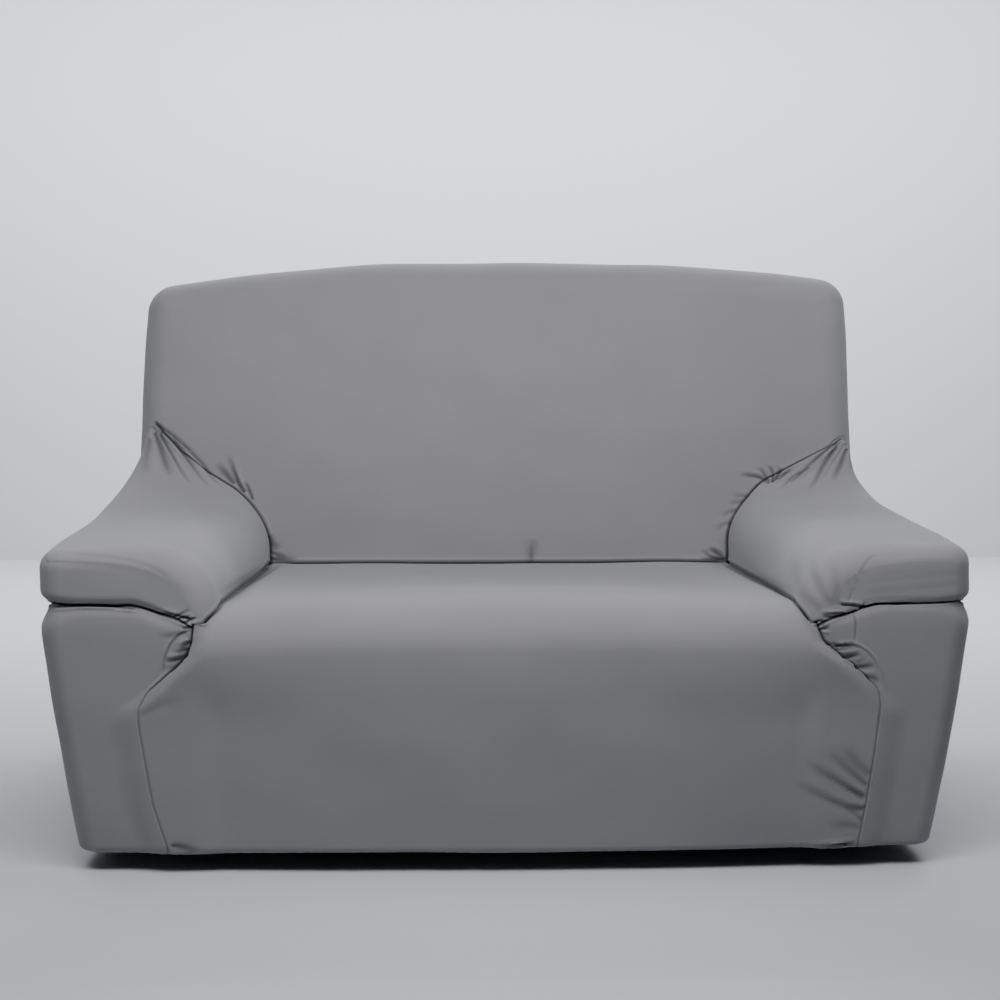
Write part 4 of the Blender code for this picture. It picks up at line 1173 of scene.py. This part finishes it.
class CoverLook(bpy.types.PropertyGroup):
    """Colours and finish of the knit, and of the shade painted into its tucks and folds."""

    colour: bpy.props.FloatVectorProperty(
        name="Knit colour", description="Colour of the cloth",
        default=(0.203, 0.201, 0.214), size=3, min=0.0, max=1.0, subtype="COLOR")
    # Painted shade: the near-black colour that the knit is darkened towards in its tucks, seams and
    # folds.
    painted_shade_colour: bpy.props.FloatVectorProperty(
        name="Tuck colour", description="Colour down in the tucks, where the cloth is pressed",
        default=(0.007, 0.007, 0.008), size=3, min=0.0, max=1.0, subtype="COLOR")
    # Painted shade: how far the tucks, seams and folds are darkened towards that colour.
    painted_shade_strength: bpy.props.FloatProperty(
        name="Tuck shade", description="How far the tucks turn to their own colour",
        default=0.92, min=0.0, max=1.0, subtype="FACTOR")
    heather: bpy.props.FloatProperty(
        name="Heather", description="How much the yarn's grey varies",
        default=0.10, min=0.0, max=1.0, subtype="FACTOR")
    sheen: bpy.props.FloatProperty(
        name="Sheen", description="Strength of the knit's soft sheen",
        default=0.25, min=0.0, max=1.0, subtype="FACTOR")
    bump: bpy.props.FloatProperty(
        name="Stitch relief", description="How strongly the stitches show",
        default=0.35, min=0.0, max=1.0, subtype="FACTOR")
    wale: bpy.props.FloatProperty(
        name="Wale", description="Width of one column of stitches",
        default=0.0013, min=0.0005, max=0.005, unit="LENGTH")
    course: bpy.props.FloatProperty(
        name="Course", description="Height of one row of stitches",
        default=0.0010, min=0.0005, max=0.005, unit="LENGTH")


class StageLook(bpy.types.PropertyGroup):
    """Floor, light and camera."""

    floor_colour: bpy.props.FloatVectorProperty(
        name="Floor colour", description="Colour of the floor",
        default=(0.52, 0.54, 0.57), size=3, min=0.0, max=1.0, subtype="COLOR")
    floor_gap: bpy.props.FloatProperty(
        name="Gap above the floor", description="How far the hem hangs above the floor",
        default=0.033, min=0.0, max=0.2, unit="LENGTH")
    sky_colour: bpy.props.FloatVectorProperty(
        name="Surround colour", description="Colour of the light from all round",
        default=(0.93, 0.96, 1.0), size=3, min=0.0, max=1.0, subtype="COLOR")
    sky_strength: bpy.props.FloatProperty(
        name="Surround strength", description="Strength of the light from all round",
        default=0.02, min=0.0, max=3.0)
    light_strength: bpy.props.FloatProperty(
        name="Light strength", description="Strength of all the soft lights together",
        default=1.0, min=0.0, max=10.0, subtype="FACTOR")


# ---------------------------------------------------------------- operators

def cloth_hem(edge):
    """The hem under an edge, turned as far as the user has set."""
    return hem(edge, bpy.context.scene.cover_sizes.hem_turn)


class COVER_OT_seat(bpy.types.Operator):
    """Build the seat and apron panel"""

    bl_idname = "cover.seat"
    bl_label = "Seat and Apron"

    def execute(self, context):
        left, middle, right = all_curves()
        columns = [join(thin(side["arm_tuck"]), side["seam_top"], side["seam"])
                   for side in (left, right)]
        nets = [wall(middle["seat_tuck"], middle["foot"], *columns, u_from="middle"),
                cloth_hem(middle["foot"])]
        panel("seat_and_apron_cloth", nets)
        return {"FINISHED"}


class COVER_OT_inside_back(bpy.types.Operator):
    """Build the inside back panel, with its band over the top and down the sides"""

    bl_idname = "cover.inside_back"
    bl_label = "Inside Back"

    def execute(self, context):
        left, middle, right = all_curves()
        nets = [wall(middle["seat_tuck"], middle["top_edge"],
                     join(left["back_tuck"], left["edge_up"]),
                     join(right["back_tuck"], right["edge_up"]), u_from="middle"),
                wall(middle["top_edge"], middle["rear_top"], left["over_top"], right["over_top"],
                     u_from="middle")]
        for side in (left, right):
            nets.append(wall(side["edge_up"], side["rear_up"], side["side_seam"],
                             side["over_top"]))
        panel("inside_back_cloth", nets)
        return {"FINISHED"}


class COVER_OT_outside_back(bpy.types.Operator):
    """Build the outside back panel"""

    bl_idname = "cover.outside_back"
    bl_label = "Outside Back"

    def execute(self, context):
        left, middle, right = all_curves()
        columns = [thin(join(side["rear_up"][::-1], side["rear_pad"], side["rear_low"]))
                   for side in (left, right)]
        nets = [wall(middle["rear_top"], middle["foot_rear"], *columns, u_from="middle"),
                cloth_hem(middle["foot_rear"])]
        panel("outside_back_cloth", nets)
        return {"FINISHED"}


class COVER_OT_arms(bpy.types.Operator):
    """Build the two panels over the arms"""

    bl_idname = "cover.arms"
    bl_label = "Arms"

    def execute(self, context):
        left, _, right = all_curves()
        for name, curves in (("left", left), ("right", right)):
            nets = [wall(curves["arm_tuck"][::-1], curves["pad_edge"], curves["rim"],
                         curves["back_tuck"])]
            panel(f"arm_{name}_cloth", nets)
        return {"FINISHED"}


class COVER_OT_sides(bpy.types.Operator):
    """Build the two side panels, which run round the front of the arms"""

    bl_idname = "cover.sides"
    bl_label = "Sides"

    def execute(self, context):
        left, _, right = all_curves()
        for name, curves in (("left", left), ("right", right)):
            top_side = join(thin(curves["pad_edge"], 3), thin(curves["side_seam"]))
            nets = [wall(curves["rim"], curves["groove"], curves["seam_top"], curves["corner_pad"],
                         u_from="right", v_from="top"),
                    wall(curves["groove"], curves["foot_front"], curves["seam"],
                         curves["corner_low"], u_from="right"),
                    wall(top_side, curves["groove_side"], curves["corner_pad"],
                         curves["rear_pad"], v_from="top"),
                    wall(curves["groove_side"], curves["foot_side"], curves["corner_low"],
                         curves["rear_low"]),
                    cloth_hem(join(curves["foot_front"], curves["foot_side"]))]
            panel(f"side_{name}_cloth", nets)
        return {"FINISHED"}


CAMERA_PLACE = (-0.060, -2.177, 0.756)     # in the sofa frame
CAMERA_DOWN = np.radians(4.856)
CAMERA_RIGHT = np.radians(1.27)
CAMERA_LENS = 50.0         # in millimetres, as the sensor's width
CAMERA_SENSOR = 36.0

STAGE_HALF = 8.0           # half the floor's width
STAGE_FRONT = -6.0         # the y's of its front and of the backdrop
STAGE_REAR = 4.0
STAGE_TOP = 5.0            # height of the backdrop

# The soft lights: where each is and what it faces, in the sofa frame, its width and height, and
# its power in watts.
LIGHT_COLUMNS = ("name", "place", "aim", "size", "power")
LIGHT_ROWS = (
    ("front_light", (0.0, -0.62, 1.5), (-0.1, 0.2, 0.4), (1.3, 0.5), 19.5),
    ("front_left_light", (-0.9, -0.6, 1.4), (0.0, 0.2, 0.4), (0.8, 0.5), 7.5),
    ("front_right_light", (0.9, -0.6, 1.4), (0.0, 0.2, 0.4), (0.8, 0.5), 4.0),
    ("high_right_light", (1.2, 0.3, 1.9), (0.0, 0.3, 0.5), (0.8, 0.8), 9.5),
    ("high_left_light", (-1.2, 0.3, 1.9), (0.0, 0.3, 0.5), (0.8, 0.8), 4.0),
    ("rear_light", (0.0, 1.7, 2.0), (0.0, 0.4, 0.6), (2.0, 0.6), 16.0),
    ("backdrop_light", (0.0, 2.2, 2.6), (0.0, 4.0, 0.6), (6.0, 0.6), 300.0),
)


def add_light(name, place, aim, size, power, strength):
    """A rectangular soft light at a place, turned to a point that it aims at."""
    lamp = bpy.data.lights.new(name, "AREA")
    lamp.shape = "RECTANGLE"
    lamp.size, lamp.size_y = size
    lamp.energy = power * strength
    light = bpy.data.objects.new(name, lamp)
    light.location = np.array(place) - ORIGIN
    away = Vector(np.array(place) - np.array(aim))
    light.rotation_mode = "QUATERNION"
    light.rotation_quaternion = away.to_track_quat("Z", "Y")
    bpy.context.scene.collection.objects.link(light)


def add_stage_sheet(name, near, far, paint):
    """A flat sheet of the stage between two opposite corners, given in the sofa frame."""
    (x0, y0, z0), (x1, y1, z1) = near, far
    corners = [(x0, y0, z0), (x1, y0, z0), (x1, y1, z1), (x0, y1, z1)]
    mesh = bpy.data.meshes.new(name)
    mesh.from_pydata(np.array(corners) - ORIGIN, [], [(0, 1, 2, 3)])
    mesh.materials.append(paint)
    sheet = bpy.data.objects.new(name, mesh)
    bpy.context.scene.collection.objects.link(sheet)


class COVER_OT_stage(bpy.types.Operator):
    """Set a pale floor, soft lights and the camera"""

    bl_idname = "cover.stage"
    bl_label = "Stage"

    def execute(self, context):
        scene = context.scene
        look = scene.cover_stage
        low, paint = -look.floor_gap, floor_material()
        front_left, rear_left = (-STAGE_HALF, STAGE_FRONT, low), (-STAGE_HALF, STAGE_REAR, low)
        add_stage_sheet("floor", front_left, (STAGE_HALF, STAGE_REAR, low), paint)
        add_stage_sheet("backdrop", rear_left, (STAGE_HALF, STAGE_REAR, STAGE_TOP), paint)

        world = bpy.data.worlds.new("surround")
        world.use_nodes = True
        bench = Bench(world.node_tree)
        glow = bench.add("ShaderNodeBackground", {}, {
            "Color": shade_of(look.sky_colour), "Strength": look.sky_strength})
        bench.add("ShaderNodeOutputWorld", {}, {"Surface": glow})
        scene.world = world

        for row in LIGHT_ROWS:
            add_light(**dict(zip(LIGHT_COLUMNS, row)), strength=look.light_strength)

        lens = bpy.data.cameras.new("camera")
        lens.lens, lens.sensor_width = CAMERA_LENS, CAMERA_SENSOR
        camera = bpy.data.objects.new("camera", lens)
        camera.location = np.array(CAMERA_PLACE) - ORIGIN
        camera.rotation_euler = (0.5 * np.pi - CAMERA_DOWN, 0.0, -CAMERA_RIGHT)
        scene.collection.objects.link(camera)
        scene.camera = camera
        return {"FINISHED"}


GROUPS = {"cover_sizes": CoverSizes, "cover_look": CoverLook, "cover_stage": StageLook}
OPERATORS = (COVER_OT_seat, COVER_OT_inside_back, COVER_OT_outside_back, COVER_OT_arms,
             COVER_OT_sides, COVER_OT_stage)


class COVER_PT_sidebar(bpy.types.Panel):
    """The cover's sizes, finish, stage and pieces"""

    bl_idname = "COVER_PT_sidebar"
    bl_label = "Sofa Cover"
    bl_space_type = "VIEW_3D"
    bl_region_type = "UI"
    bl_category = "Sofa Cover"

    def draw(self, context):
        for group_name, group in GROUPS.items():
            box = self.layout.box()
            for name in group.__annotations__:
                box.prop(getattr(context.scene, group_name), name)
        for operator in OPERATORS:
            self.layout.operator(operator.bl_idname)


CLASSES = (*GROUPS.values(), *OPERATORS, COVER_PT_sidebar)


def register():
    """Register the classes and hang their property groups on the scene."""
    for kind in CLASSES:
        bpy.utils.register_class(kind)
    for name, kind in GROUPS.items():
        setattr(bpy.types.Scene, name, bpy.props.PointerProperty(type=kind))


def unregister():
    """Take the property groups off the scene and unregister the classes."""
    for name in GROUPS:
        delattr(bpy.types.Scene, name)
    for kind in reversed(CLASSES):
        bpy.utils.unregister_class(kind)


def main():
    """Build the pieces and the stage."""
    register()
    bpy.ops.cover.seat()
    bpy.ops.cover.inside_back()
    bpy.ops.cover.outside_back()
    bpy.ops.cover.arms()
    bpy.ops.cover.sides()
    bpy.ops.cover.stage()


if __name__ == "__main__":
    main()
